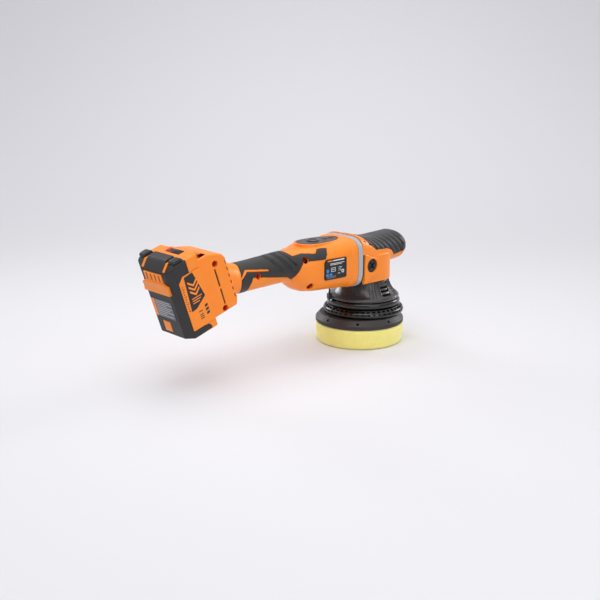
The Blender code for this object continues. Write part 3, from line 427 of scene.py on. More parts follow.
def piece(bm, name, *finish, **more):
    """A finished piece straight from its bmesh."""
    return finished(object_from(bm, name), *finish, **more)


def prism(outline, low, high, plane="XZ", place=None):
    """A closed bar: an outline drawn in one plane and extruded from low to high."""
    order = {"XZ": (0, 2, 1), "XY": (0, 1, 2), "YZ": (1, 2, 0)}[plane]

    def point(pair, depth):
        spot = [0.0, 0.0, 0.0]
        spot[order[0]], spot[order[1]], spot[order[2]] = pair[0], pair[1], depth
        return spot

    bm = bmesh.new()
    face = bm.faces.new([bm.verts.new(point(pair, low)) for pair in outline])
    grown = bmesh.ops.extrude_face_region(bm, geom=[face])["geom"]
    bmesh.ops.translate(bm, verts=[v for v in grown if isinstance(v, bmesh.types.BMVert)],
                        vec=point((0, 0), high - low))
    bmesh.ops.recalc_face_normals(bm, faces=bm.faces)
    if place:
        bm.transform(place)
    return bm


def between(side, near, far):
    """Two distances from the middle, on one side of it, the lower one first."""
    return sorted((side * near, side * far))


def box(low, high, place=None):
    """A closed block between two corners."""
    bm = bmesh.new()
    size = [b - a for a, b in zip(low, high)]
    middle = [(a + b) / 2 for a, b in zip(low, high)]
    bmesh.ops.create_cube(bm, size=1.0,
                          matrix=Matrix.Translation(middle) @ Matrix.Diagonal((*size, 1)))
    if place:
        bm.transform(place)
    return bm


def cylinder(radius, start, end, segments=32):
    """A closed cylinder from one point to another."""
    bm = bmesh.new()
    start, end = Vector(start), Vector(end)
    turn = (end - start).to_track_quat("Z", "Y").to_matrix().to_4x4()
    bmesh.ops.create_cone(bm, cap_ends=True, segments=segments, radius1=radius,
                          radius2=radius, depth=(end - start).length,
                          matrix=Matrix.Translation((start + end) / 2) @ turn)
    return bm


def gathered(parts):
    """One bmesh from several."""
    whole = bmesh.new()
    for part in parts:
        mesh = bpy.data.meshes.new("part")
        part.to_mesh(mesh)
        part.free()
        whole.from_mesh(mesh)
        bpy.data.meshes.remove(mesh)
    return whole


def softened(bm, amount, segments=3, sharper=30.0, keep=None):
    """Bevel every edge sharper than an angle, apart from those that keep() holds back."""
    bmesh.ops.recalc_face_normals(bm, faces=bm.faces)
    edges = [e for e in bm.edges if len(e.link_faces) == 2
             and e.calc_face_angle() > math.radians(sharper) and not (keep and keep(e))]
    bmesh.ops.bevel(bm, geom=edges, offset=amount, offset_type="OFFSET", segments=segments,
                    profile=0.5, affect="EDGES", clamp_overlap=True, material=-1)
    return bm


def spun(profile, steps=128, centre=(0, 0, 0), turn=math.tau, closed=True):
    """A profile of radius and height spun round an upright axis."""
    bm = bmesh.new()
    verts = [bm.verts.new((centre[0] + radius, centre[1], centre[2] + height))
             for radius, height in profile]
    edges = [bm.edges.new(pair) for pair in zip(verts, verts[1:])]
    if closed:
        edges.append(bm.edges.new((verts[-1], verts[0])))
    bmesh.ops.spin(bm, geom=verts + edges, cent=centre, axis=(0, 0, 1), dvec=(0, 0, 0), angle=turn,
                   steps=steps, use_merge=turn == math.tau, use_duplicate=False)
    bmesh.ops.remove_doubles(bm, verts=bm.verts, dist=0.00001)
    bmesh.ops.recalc_face_normals(bm, faces=bm.faces)
    return bm


def eased(points, extra=4):
    """Points joined by a smooth curve through all of them."""
    result = []
    for i in range(len(points) - 1):
        a, b, c, d = (points[max(0, i - 1)], points[i], points[i + 1],
                      points[min(len(points) - 1, i + 2)])
        for step in range(extra):
            result.append(blended(a, b, c, d, step / extra))
    return result + [tuple(points[-1])]


def blended(a, b, c, d, t):
    """A point between b and c on the smooth curve through a, b, c and d."""
    return tuple(0.5 * (2 * q + (r - p) * t + (2 * p - 5 * q + 4 * r - s) * t * t
                        + (3 * q - p - 3 * r + s) * t ** 3) for p, q, r, s in zip(a, b, c, d))


def ring_point(section, turn, grow):
    """A point on a section's rounded outline."""
    x, half, low, high, square = section
    c, s = math.cos(turn), math.sin(turn)
    y = math.copysign(abs(c) ** (2 / square), c) * (half + grow)
    z = math.copysign(abs(s) ** (2 / square), s) * ((high - low) / 2 + grow)
    return Vector((x, y, (low + high) / 2 + z))


def lofted(sections, grow=0.0, along=ALONG, around=AROUND):
    """A closed body through the sections: a grid wrapped round them, with its ends filled."""
    rows = eased(sections, 8)
    bm = bmesh.new()
    bmesh.ops.create_grid(bm, x_segments=along, y_segments=around, size=0.5)
    for vert in bm.verts:
        row = (vert.co.x + 0.5) * (len(rows) - 1)
        index = min(len(rows) - 2, int(row))
        section = [a + (b - a) * (row - index) for a, b in zip(rows[index], rows[index + 1])]
        vert.co = ring_point(section, (vert.co.y + 0.5) * math.tau, grow)
    bmesh.ops.remove_doubles(bm, verts=bm.verts, dist=0.00002)
    bmesh.ops.holes_fill(bm, edges=[e for e in bm.edges if e.is_boundary], sides=0)
    bmesh.ops.recalc_face_normals(bm, faces=bm.faces)
    return bm


def grip_sections(grow, steps=14):
    """The palm grip's sections with its round nose, all grown outwards by grow."""
    sections = [(x, half + grow, low - grow, high + grow, square)
                for x, half, low, high, square in GRIP]
    x, half, low, high, square = sections[-1]
    level = low + grow + NOSE_AXIS * (high - low - 2 * grow)
    for step in range(1, steps + 1):
        turn = NOSE_CLOSING * math.pi / 2 * step / steps
        keep = math.cos(turn)
        sections.append((x + (NOSE_LENGTH + grow) * math.sin(turn), half * keep,
                         level - (level - low) * keep, level + (high - level) * keep,
                         square - 0.3 * step / steps))
    return sections


def grip_loft(grow):
    """The palm grip's solid shape, grown outwards by grow."""
    return lofted(grip_sections(grow), 0.0, 120, 112)


def widened(outline, amount):
    """The outline with every edge moved outwards by amount."""
    count = len(outline)
    pairs = [(outline[i], outline[(i + 1) % count]) for i in range(count)]
    turn = math.copysign(1.0, sum(a[0] * b[1] - b[0] * a[1] for a, b in pairs))
    result = []
    for index, here in enumerate(outline):
        here = Vector(here)
        before = (here - Vector(outline[index - 1])).normalized()
        after = (Vector(outline[(index + 1) % count]) - here).normalized()
        first = Vector((before.y, -before.x)) * turn
        second = Vector((after.y, -after.x)) * turn
        result.append(tuple(here + (first + second) * (amount / max(0.35, 1 + first.dot(second)))))
    return result


def rounded(outline, radius, steps=4):
    """The outline with each corner turned into a short curve."""
    result = []
    count = len(outline)
    for index in range(count):
        before, here, after = (Vector(outline[index - 1]), Vector(outline[index]),
                               Vector(outline[(index + 1) % count]))
        reach = min(radius, (before - here).length * 0.45, (after - here).length * 0.45)
        start = here + (before - here).normalized() * reach
        end = here + (after - here).normalized() * reach
        for step in range(steps + 1):
            t = step / steps
            result.append(tuple(start * (1 - t) ** 2 + here * 2 * t * (1 - t) + end * t * t))
    return result


def tidy_mesh(bm, distance=0.00004):
    """Merge stray points and drop edges and faces of no size."""
    bmesh.ops.remove_doubles(bm, verts=bm.verts, dist=distance)
    bmesh.ops.dissolve_degenerate(bm, edges=bm.edges, dist=distance)


def one_side(source, name, side):
    """A copy of an object's pieces on one side of the parting plane."""
    bm = bmesh.new()
    bm.from_mesh(source.data)
    bmesh.ops.delete(bm, geom=[v for v in bm.verts if v.co.y * side < 0], context="VERTS")
    return object_from(bm, name)


def pressed(bm, lines, width, depth, inwards, fade):
    """Press rounded grooves along planes into the faces that look away from the core."""
    for point, normal in lines:
        for offset in (-0.5, -0.3, 0.0, 0.3, 0.5):
            bmesh.ops.bisect_plane(bm, geom=bm.verts[:] + bm.edges[:] + bm.faces[:], dist=0.00001,
                                   plane_co=point + normal * (offset * width), plane_no=normal)
    bm.normal_update()
    moves = {}
    for vert in bm.verts:
        if vert.normal.dot(inwards(vert.co).normalized()) > -0.2:
            continue
        for point, normal in lines:
            away = abs((vert.co - point).dot(normal)) / width
            if away < 0.49:
                share = 1 - (away / 0.5) ** 1.5
                moves[vert] = vert.normal * (-depth * share * fade(vert.co))
    for vert, move in moves.items():
        vert.co += move


def dressed(node, name, material, width, slot):
    """A CAD node's shape again on the housing, merged and with its edges rounded."""
    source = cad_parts[node]
    bm = bmesh.new()
    bm.from_mesh(source.data)
    bmesh.ops.remove_doubles(bm, verts=bm.verts, dist=0.000002)
    bmesh.ops.dissolve_limit(bm, angle_limit=math.radians(1.0), use_dissolve_boundaries=False,
                             verts=bm.verts, edges=bm.edges)
    thing = object_from(bm, name)
    return finished(thing, material, "housing", slot, (node,), width)


# ---- settings ----
def tint(label, code, words):
    """A colour setting from its sRGB hex code."""
    return FloatVectorProperty(name=label, description=words, subtype="COLOR", size=3, min=0.0,
                               max=1.0, default=linear(code))


def length(label, millimetres, words):
    """A length setting, in metres."""
    return FloatProperty(name=label, description=words, unit="LENGTH", subtype="DISTANCE",
                         default=millimetres * MM, min=0.0)


class PolisherColours(bpy.types.PropertyGroup):
    """Colours of the mouldings, rubber, foam and trim"""
    orange: tint("Orange", "fb8a14", "Housing, head cover and battery shell")
    # painted shade: a darker, redder orange for the inside of the screw holes
    hole_shade_colour: tint("Painted hole shade", "e8480a", "Inside of the screw holes and slots")
    rubber: tint("Rubber", "201f20", "Overmould and palm grip")
    nylon: tint("Nylon", "1c1b1c", "Battery case and its bumpers")
    gloss: tint("Gloss black", "0b0b0c", "Shroud, vent ring and display")
    casting: tint("Casting", "332e30", "Gear housing")
    plate: tint("Backing plate", "2c2725", "Backing plate")
    foam: tint("Foam", "fdf08c", "Polishing pad")
    trim: tint("Trim", "a9afb8", "Band in front of the barrel")


class PolisherSizes(bpy.types.PropertyGroup):
    """Sizes of the details that are added to the CAD shapes"""
    edge: length("Edge radius", 0.45, "Rounding of the moulded edges")
    groove_width: length("Groove width", 2.3, "Width of the handle's grooves")
    groove_depth: length("Groove depth", 1.25, "Depth of the handle's grooves")
    palm_width: length("Palm groove width", 3.4, "Width of the palm grip's grooves")
    palm_depth: length("Palm groove depth", 1.3, "Depth of the palm grip's grooves")
    vents: IntProperty(name="Vents", description="Openings round the vent ring", default=44,
                       min=8, max=80)
    vent_depth: length("Vent depth", 2.8, "Depth of the vent ring's openings")
    rib: length("Rib height", 1.1, "Height of the ribs on the gear housing")


class PolisherStage(bpy.types.PropertyGroup):
    """Light and backdrop"""
    lens: FloatProperty(name="Lens", description="Focal length", default=63.89, min=10.0,
                        unit="CAMERA")
    floor: tint("Floor", "dcdbde", "Backdrop paper")
    sky: FloatProperty(name="Fill", description="Strength of the even light", default=0.93,
                       min=0.0)
    key: FloatProperty(name="Key", description="Power of the large overhead light", default=5.5,
                       min=0.0, unit="POWER")


def colours():
    """The colour settings."""
    return bpy.context.scene.polisher_colours


def sizes():
    """The size settings."""
    return bpy.context.scene.polisher_sizes


def kept(maker, *values):
    """A material, made once and kept for every piece that shares it."""
    name = maker.__name__
    if name not in KEPT:
        KEPT[name] = maker(*values)
    return KEPT[name]


KEPT = {}


def orange():
    return kept(orange_abs, colours().orange)


def rubber():
    return kept(soft_tpe, colours().rubber)


def nylon():
    return kept(glass_nylon, colours().nylon)


def gloss():
    return kept(gloss_polycarbonate, colours().gloss)


# ---- housing ----
def panel_outline(grow=0.0, count=72):
    """Egg outline of the control panel, blunter at the rear."""
    middle = sum(PANEL_X) / 2
    half = (PANEL_X[1] - PANEL_X[0]) / 2
    points = []
    for index in range(count):
        turn = math.tau * index / count
        c, s = math.cos(turn), math.sin(turn)
        width = PANEL_HALF_WIDTH * (1 - 0.16 * c)
        points.append((middle + (half + grow) * math.copysign(abs(c) ** 0.8, c),
                       (width + grow) * math.copysign(abs(s) ** 0.8, s)))
    return points


def parting():
    """The gap between the right and left halves."""
    return box((-0.30, -FIT / 2, 0.05), (-0.03, FIT / 2, 0.20))


def foot_solid():
    """The battery foot: a wide block with softened sides."""
    at_battery = FOOT[0][0] + 0.00001
    bm = prism(FOOT, -FOOT_HALF_WIDTH, FOOT_HALF_WIDTH)
    softened(bm, 0.0022, 4, 20.0, lambda e: all(v.co.x < at_battery for v in e.verts))
    bm.transform(PACK)
    return bm


def foot_tools():
    """Rail channel, terminal room, side slits and edge slots of the foot."""
    neck, wide = 0.0206, 0.0246
    channel = prism(((0.0400, -neck), (0.0400, neck), (0.0480, neck), (0.0480, wide),
                     (0.0530, wide), (0.0530, -wide), (0.0480, -wide), (0.0480, -neck)),
                    0.0100, 0.1000, "XY", PACK)
    room = box((0.0500, -0.0150, 0.0123), (0.0800, 0.0150, 0.0400), PACK)
    parts = [channel]
    for side in (-1, 1):
        for low, high in FOOT_SLITS:
            near, far = between(side, 0.0240, 0.0345)
            slit = ((0.0636, low), (0.0658, low), (0.0658, high), (0.0636, high))
            parts.append(prism(slit, near, far, "XZ", PACK))
        for start in FOOT_SLOTS:
            near, far = between(side, 0.0300, 0.0345)
            parts.append(box((0.0822, near, start), (0.0870, far, start + 0.0034), PACK))
    return gathered(parts), room


def housing():
    """Both clamshell halves: one solid, carved, then parted at the middle."""
    solid = object_from(lofted(BARREL), "housing_solid")
    carve(solid, object_from(foot_solid(), "foot"), "UNION")
    plinth = prism(panel_outline(0.0024), 0.1440, PANEL_Z[1] - 0.0005, "XY")
    softened(plinth, 0.0010, 3, 40.0, lambda e: any(v.co.z < 0.15 for v in e.verts))
    carve(solid, object_from(plinth, "plinth"), "UNION")
    inner = [(x, half, low, min(high, HOLLOW_TOP), square) for x, half, low, high, square in BARREL]
    inner += [(-0.0384,) + inner[-1][1:]]
    carve(solid, object_from(lofted(inner, -0.003, 40, 32), "hollow"))
    slots, room = foot_tools()
    carve(solid, object_from(room, "room"))
    bores = [cylinder(0.0041, (x, -0.05, z), (x, -0.0085, z), 28) for x, z in SCREW_PLACES]
    label = prism(widened(LABEL, FIT), -0.0400, -0.0358 + FIT)
    panel = prism(panel_outline(FIT), PANEL_Z[0] - FIT, 0.170, "XY")
    carve(solid, object_from(gathered(bores + [label, panel, slots]), "openings"))
    recess = object_from(lofted(BARREL, 0.004), "recess")
    carve(recess, object_from(lofted(BARREL, -OVERMOULD_DEPTH - FIT), "recess_core"))
    carve(recess, object_from(prism(widened(OVERMOULD, FIT), -0.06, 0.06), "recess_side"),
          "INTERSECT")
    carve(solid, recess)
    carve(solid, object_from(parting(), "parting"))
    edited(solid, tidy_mesh)
    for word, side in SIDES:
        finished(one_side(solid, "housing_shell_" + word, side), orange(), "housing",
                 "orange_plastic", ("housing_" + word,), sizes().edge)
    bpy.data.objects.remove(solid)


def foot_inserts():
    """Black strips at the bottom of the foot's slits, and dark red painted shade inside the row of
    slots by its edge.
    """
    strips, vents = [], []
    for side in (-1, 1):
        for low, high in ((0.0172, 0.0383), (0.0417, 0.0653)):
            near, far = between(side, 0.0242, 0.0318)
            strips.append(box((0.0637, near, low), (0.0657, far, high), PACK))
        for start in FOOT_SLOTS:
            # painted shade: dark red plates inside the edge slots stand for the shade in them
            near, far = between(side, 0.0322, 0.03304)
            vents.append(box((0.0812, near, start), (0.0827, far, start + 0.0042), PACK))
    piece(gathered(strips), "foot_slit_strips", nylon(), "housing", "black_plastic")
    # the dark red pieces are painted shade for the slots, on the orange plastic
    piece(gathered(vents), "foot_edge_slot_shade", printed("abs_painted_slot_shade", "7a1c0a"), "housing",
          "orange_plastic")


def paint_hole_shade():
    """Sleeves of painted shade, deep red-orange, inside the screw holes."""
    # the red-orange is painted shade, standing for the shade inside the holes
    hole_shade_finish = kept(hole_shade_abs, colours().hole_shade_colour)
    parts = []
    for index, (x, z) in enumerate(SCREW_PLACES):
        outer = (0.0225, 0.0245, 0.0180, 0.0300, 0.0300)[index]
        parts.append(spun(((0.00385, 0.0095), (0.00405, 0.0095), (0.00405, outer),
                           (0.00385, outer)), 28))
        parts[-1].transform(Matrix.Translation((x, 0, z)) @ Matrix.Rotation(math.pi / 2, 4, "X"))
    piece(gathered(parts), "screw_hole_shade_sleeves", hole_shade_finish, "housing", "orange_plastic")


def grips():
    """The soft skins on the handle, with slanting grooves over the shoulder."""
    skin = object_from(lofted(BARREL, OVERMOULD_PROUD), "skin")
    carve(skin, object_from(lofted(BARREL, -OVERMOULD_DEPTH), "skin_core"))
    carve(skin, object_from(prism(OVERMOULD, -0.06, 0.06), "skin_side"), "INTERSECT")
    bores = [cylinder(0.0043, (x, -0.05, z), (x, -0.008, z), 28) for x, z in SCREW_PLACES[:3]]
    carve(skin, object_from(gathered(bores + [parting()]), "openings"))
    slope = Vector((0.78, 0, 0.625)).normalized()
    lines = [(Vector((x, 0, 0.145)), slope) for x in (-0.1875, -0.1838, -0.1725, -0.1688,
                                                      -0.1588)]

    def fade(place):
        low = min(1.0, max(0.0, (place.z - 0.1215) / 0.006))
        return low * (1.0 if place.x < -0.148 else 0.0)

    edited(skin, tidy_mesh)
    edited(skin, pressed, lines, sizes().groove_width, sizes().groove_depth,
           lambda place: Vector((0, -place.y, 0.126 - place.z)), fade)
    for word, side in SIDES:
        finished(one_side(skin, "grip_skin_" + word, side), rubber(), "housing", "soft_grip",
                 ("handle_grip_" + word,), 0.0003, 2, 45.0)
    bpy.data.objects.remove(skin)


def trim():
    """The grey band: the barrel's front outline swept round with rounded lips."""
    front = BARREL[-1]
    lip = 0.0009
    path = [(-0.0480, -0.0040), (-0.0480, 0.0006 - lip)]
    path += [(-0.0480 + lip * (1 - math.cos(t)), 0.0006 - lip * (1 - math.sin(t)))
             for t in (0.4, 0.8, 1.2, 1.57)]
    path += [(-0.0402 - lip * (1 - math.sin(t)), 0.0006 - lip * (1 - math.cos(t)))
             for t in (0.0, 0.4, 0.8, 1.2, 1.57)]
    path += [(-0.0402, -0.0040)]
    bm = bmesh.new()
    bmesh.ops.create_grid(bm, x_segments=len(path), y_segments=144, size=0.5)
    for vert in bm.verts:
        x, grow = path[round((vert.co.x + 0.5) * len(path)) % len(path)]
        vert.co = ring_point((x,) + front[1:], (vert.co.y + 0.5) * math.tau, grow)
    bmesh.ops.remove_doubles(bm, verts=bm.verts, dist=0.00001)
    piece(bm, "trim_band", kept(painted_trim, colours().trim), "housing", "grey_trim",
          ("trim_ring",))


def gap_shade_band():
    """A dark nylon band in the gap between the trim band and the head cover, below the cover's lip:
    painted shade for the shaded gap.
    """
    front = BARREL[-1][1:]
    # painted shade: a black band sunk in the gap stands for the shade in it
    shade_band = object_from(lofted([(x,) + front for x in (-0.0400, -0.0375)], -0.0010, 6), "gap_shade_band")
    carve(shade_band, object_from(lofted([(x,) + front for x in (-0.05, -0.03)], -0.0044, 6), "core"))
    carve(shade_band, object_from(box((-0.06, -0.06, 0.1318), (-0.02, 0.06, 0.17)), "upper"))
    finished(shade_band, nylon(), "housing", "black_plastic", (), 0.0001)


# ---- head ----
def neck_outline(grow=0.0, steps=40):
    """Plan of the head cover's neck: straight at the rear, half round in front."""
    half = 0.0370 + grow
    points = [(-0.0397, -half)]
    for step in range(steps + 1):
        turn = -math.pi / 2 + math.pi * step / steps
        points.append((half * math.cos(turn), half * math.sin(turn)))
    return points + [(-0.0397, half)]


def head_cover():
    """The orange cover over the gears, with a raised flat for the side screw on each side."""
    cover = object_from(grip_loft(0.0), "head_cover_shell")
    neck = prism(neck_outline(), 0.0905, 0.1290, "XY")
    softened(neck, 0.0035, 4, 40.0, lambda e: any(v.co.z < 0.12 for v in e.verts))
    carve(cover, object_from(neck, "neck"), "UNION")
    for side in (-1, 1):
        low, high = between(side, 0.0300, 0.0397)
        boss = prism(rounded(BOSS, 0.0012), low, high)
        softened(boss, 0.0007, 2, 40.0, lambda e: any(abs(v.co.y) < 0.036 for v in e.verts))
        carve(cover, object_from(boss, "boss"), "UNION")
    carve(cover, object_from(prism(neck_outline(-0.0029), 0.08, 0.129, "XY"), "gear_room"))
    recess = object_from(grip_loft(0.004), "cap_recess")
    carve(recess, object_from(grip_loft(-CAP_DEPTH - FIT), "cap_core"))
    carve(recess, object_from(prism(widened(CAP_EDGE, FIT), -0.06, 0.06), "cap_side"), "INTERSECT")
    carve(cover, recess)
    x, z = SIDE_SCREW
    bore = cylinder(SIDE_SCREW_RADIUS + FIT, (x, -0.06, z), (x, 0.06, z), 48)
    notch = [prism(NOTCH, *between(side, 0.0250, 0.0450)) for side in (-1, 1)]
    gaps = [box((-0.0412, low, 0.0850), (-0.0372, high, 0.1320))
            for low, high in ((-0.0450, -0.0300), (0.0300, 0.0450))]
    rear = box((-0.0500, -0.0335, 0.0800), (-0.0300, 0.0335, 0.1500))
    carve(cover, object_from(rear, "rear"))
    carve(cover, object_from(gathered([bore] + gaps), "openings"))
    carve(cover, object_from(gathered(notch), "notches"))
    edited(cover, tidy_mesh)
    finished(cover, orange(), "housing", "orange_plastic", ("head_cover",), sizes().edge)


def palm_grip():
    """The rubber cap: slanting grooves down each side, fading out over the top."""
    cap = object_from(grip_loft(0.0003), "palm_grip_cap")
    carve(cap, object_from(grip_loft(-CAP_DEPTH), "cap_core"))
    carve(cap, object_from(prism(CAP_EDGE, -0.06, 0.06), "cap_side"), "INTERSECT")
    edited(cap, tidy_mesh)
    slope = Vector((0.80, 0, 0.60)).normalized()
    lines = [(Vector((x, 0, 0.142)), slope)
             for x in (-0.0215, -0.0130, -0.0040, 0.0055, 0.0155, 0.0255, 0.0355, 0.0455)]

    def fade(place):
        return (min(1.0, max(0.0, (abs(place.y) - 0.010) / 0.010))
                * min(1.0, max(0.0, (0.0600 - place.x) / 0.008)))

    edited(cap, pressed, lines, sizes().palm_width, sizes().palm_depth,
           lambda place: Vector((0, -place.y, 0.130 - place.z)), fade)
    edited(cap, tidy_mesh)
    finished(cap, rubber(), "housing", "soft_grip", ("palm_grip",), 0.0004, 2, 50.0)


def side_screws():
    """Large side screws with a cross recess, one on each side of the head."""
    x, z = SIDE_SCREW
    profile = ((0, 0.0345), (0.0040, 0.0345), (0.0040, 0.0348), (SIDE_SCREW_RADIUS, 0.0348),
               (SIDE_SCREW_RADIUS, 0.0375), (0.0091, 0.0378), (0.0078, 0.0383), (0.0070, 0.0384),
               (0, 0.0384))
    for word, side in SIDES:
        place = Matrix.Translation((x, 0, z)) @ Matrix.Rotation(-side * math.pi / 2, 4, "X")
        bm = spun(profile, 64, closed=False)
        bm.transform(place)
        screw = object_from(bm, "side_screw_head_" + word)
        arm, half = 0.0060, 0.0012
        cross = ((arm, -half), (arm, half), (half, half), (half, arm), (-half, arm), (-half, half),
                 (-arm, half), (-arm, -half), (-half, -half), (-half, -arm), (half, -arm),
                 (half, -half))
        recess = prism(cross, 0.0358, 0.0400, "XY", place @ Matrix.Rotation(0.6, 4, "Z"))
        carve(screw, object_from(recess, "recess"))
        finished(screw, nylon(), "housing", "black_plastic", ("side_screw_" + word,), 0.0002)


SKIRT = ((0.0475, 0.0622), (0.0494, 0.0626), (0.0500, 0.0640), (0.0498, 0.0665), (0.0440, 0.0705),
         (0.0395, 0.0760), (0.0362, 0.0830), (0.0345, 0.0885))
RIB_TURNS = (-32, -25, -19, 21, 27, 33, 41, 51, 61, 80, 100, 118)
WINDOW_X = (-0.0055, 0.0105)
WINDOW_TURNS = (-9.5, 16.5)       # where the window's frame stands, in degrees from sideways


def gear_housing():
    """The cast gear case: a flared, ribbed skirt with a framed vent window on each side."""
    outer = eased(SKIRT[2:], 4)
    profile = list(SKIRT[:2]) + outer + [(0.0334, 0.0898), (0.0334, 0.1205), (0.0280, 0.1284),
                                         (0.0255, 0.1345), (0.0150, 0.1393), (0, 0.1393)]
    inner = [(0, 0.1372), (0.0118, 0.1372), (0.0118, 0.1318), (0.0230, 0.1318), (0.0300, 0.1190),
             (0.0300, 0.0960), (0.0175, 0.0960), (0.0175, 0.0850), (0.0130, 0.0850),
             (0.0130, 0.0790), (0.0330, 0.0760), (0.0455, 0.0640)]
    case = object_from(spun(inner + profile, 120, closed=False), "gear_case")
    mouth = cylinder(0.0172, (-0.06, 0, 0.1225), (-0.024, 0, 0.1225), 40)
    carve(case, object_from(mouth, "mouth"))
    openings = []
    for side in (-1, 1):
        for row in range(3):
            low, high = between(side, 0.0310, 0.0600)
            level = 0.0690 + 0.0048 * row
            openings.append(box((WINDOW_X[0], low, level), (WINDOW_X[1], high, level + 0.0026)))
    carve(case, object_from(gathered(openings), "windows"))
    finish = kept(coated_casting, colours().casting)
    finished(case, finish, "housing", "cast_black", ("gear_housing",), 0.0003, 2, 30.0)
    piece(skirt_ribs(outer), "gear_case_ribs", finish, "housing", "cast_black", (), 0.0004, 2,
          30.0)


def skirt_ribs(outer):
    """Upright ribs that follow the skirt's flare, and a frame round each window."""
    height = sizes().rib
    lower = [(r, z) for r, z in outer if z > 0.0667]
    parts = []
    for side in (-1, 1):
        wall = [(r - 0.0008, z) for r, z in lower]
        ridge = [(r + height * min(1.0, (z - 0.0660) / 0.004), z) for r, z in reversed(lower)]
        bars = [(wall + ridge, degrees - 1.2, 2.4) for degrees in RIB_TURNS + WINDOW_TURNS]
        for level, radius in ((0.0669, 0.0492), (0.0834, 0.0361)):
            frame_bar = [(radius - 0.0014, level - 0.0008), (radius + height, level - 0.0008),
                         (radius + height, level + 0.0008), (radius - 0.0014, level + 0.0008)]
            bars.append((frame_bar, WINDOW_TURNS[0] - 1.2, WINDOW_TURNS[1] - WINDOW_TURNS[0] + 2.4))
        for profile, degrees, reach in bars:
            rib = spun(profile, 3 if reach < 5 else 12, turn=math.radians(reach))
            cap = [e for e in rib.edges if e.is_boundary]
            bmesh.ops.holes_fill(rib, edges=cap, sides=0)
            rib.transform(Matrix.Rotation(math.radians(-90 + degrees), 4, "Z"))
            if side > 0:
                rib.transform(Matrix.Scale(-1, 4, (0, 1, 0)))
            bmesh.ops.recalc_face_normals(rib, faces=rib.faces)
            parts.append(rib)
    return gathered(parts)


def shroud():
    """The glossy shroud: a smooth lobe over a ring pierced with small vents."""
    low, high = 0.0530, 0.0618
    lobe = [(0.0455, low), (0.0488, low)]
    lobe += [(0.0488 + 0.0032 * math.sin(t) ** 0.8, (low + high) / 2 - 0.0044 * math.cos(t))
             for t in [math.pi * k / 18 for k in range(1, 18)]]
    lobe += [(0.0488, high), (0.0455, high)]
    piece(spun(lobe, 160), "shroud_lobe_gloss", gloss(), "housing", "gloss_black",
          ("shroud_lobe",))
    low, high = 0.0417, 0.0526
    around = sizes().vents * 8
    foot = [(0.0490, low), (0.0560, low), (0.0566, low + 0.0006), (0.0570, low + 0.0016),
            (0.0573, low + 0.0030), (0.0572, low + 0.0042), (0.0565, low + 0.0064),
            (0.0558, low + 0.0074)]
    slope = [(0.0549, low + 0.0080), (0.0522, low + 0.0100), (0.0515, high - 0.0004),
             (0.0508, high), (0.0455, high), (0.0455, high - 0.0030)]
    bm = spun(foot + slope, around)
    pierced(bm, around, 8, (1, 2, 3, 4, 5), (0.0549, 0.0522), (low + 0.0080, low + 0.0100))
    pierced(bm, around, 8, (2, 3, 4), (0.0572, 0.0565), (low + 0.0042, low + 0.0064))
    piece(bm, "vent_ring_gloss", gloss(), "housing", "gloss_black", ("vent_ring",), 0.00015, 1)


def pierced(bm, around, pitch, open_steps, radii, levels):
    """Sink every few faces of a band into the ring."""
    band = []
    for face in bm.faces:
        middle = face.calc_center_median()
        radius = math.hypot(middle.x, middle.y)
        if not (min(radii) - 0.0001 < radius < max(radii) + 0.0001
                and levels[0] < middle.z < levels[1]):
            continue
        step = int((math.atan2(middle.y, middle.x) % math.tau) / math.tau * around)
        if step % pitch in open_steps:
            band.append(face)
    bm.normal_update()
    depth = sizes().vent_depth
    grown = bmesh.ops.extrude_face_region(bm, geom=band)["geom"]
    for vert in {v for v in grown if isinstance(v, bmesh.types.BMVert)}:
        outwards = Vector((vert.co.x, vert.co.y, 0)).normalized()
        vert.co -= (outwards * 0.75 + Vector((0, 0, 0.66))) * depth
    bmesh.ops.delete(bm, geom=[f for f in band if f.is_valid], context="FACES_ONLY")


def stays():
    """The thin stay rod beside the skirt and the clip at its foot."""
    dressed("stay_rod", "stay_rod_steel", kept(blackened_steel), 0.0002, "black_plastic")
    dressed("stay_clip", "stay_clip_moulding", nylon(), 0.0004, "black_plastic")


# ---- pad ----
def backing_plate():
    """The turned backing plate with its ring of small holes."""
    profile = [(0.0026, 0.0281), (0.0616, 0.0281), (0.0623, 0.0285), (0.0625, 0.0293),
               (0.0625, 0.0330), (0.0622, 0.0341), (0.0572, 0.0399), (0.0566, 0.0405),
               (0.0556, 0.0408), (0.0440, 0.0408), (0.0400, 0.0340), (0.0120, 0.0340),
               (0.0120, 0.0435), (0.0056, 0.0435), (0.0056, 0.0341), (0.0026, 0.0341)]
    centre = (PAD_CENTRE.x, 0, 0)
    plate = object_from(spun(profile, 160, centre), "backing_plate_turned")
    holes = []
    for number in range(8):
        turn = math.tau * (number + 0.96) / 8
        place = (Matrix.Translation(centre) @ Matrix.Rotation(turn, 4, "Z")
                 @ Matrix.Translation((0.0600, 0, 0.0370))
                 @ Matrix.Rotation(math.radians(40), 4, "Y"))
        hole = cylinder(0.0018, (0, 0, -0.0068), (0, 0, 0.006), 20)
        hole.transform(place)
        holes.append(hole)
    carve(plate, object_from(gathered(holes), "holes"))
    finished(plate, kept(plate_nylon, colours().plate), "pad", "pad_plate_plastic",
             ("backing_plate",), 0.0003, 2, 40.0)


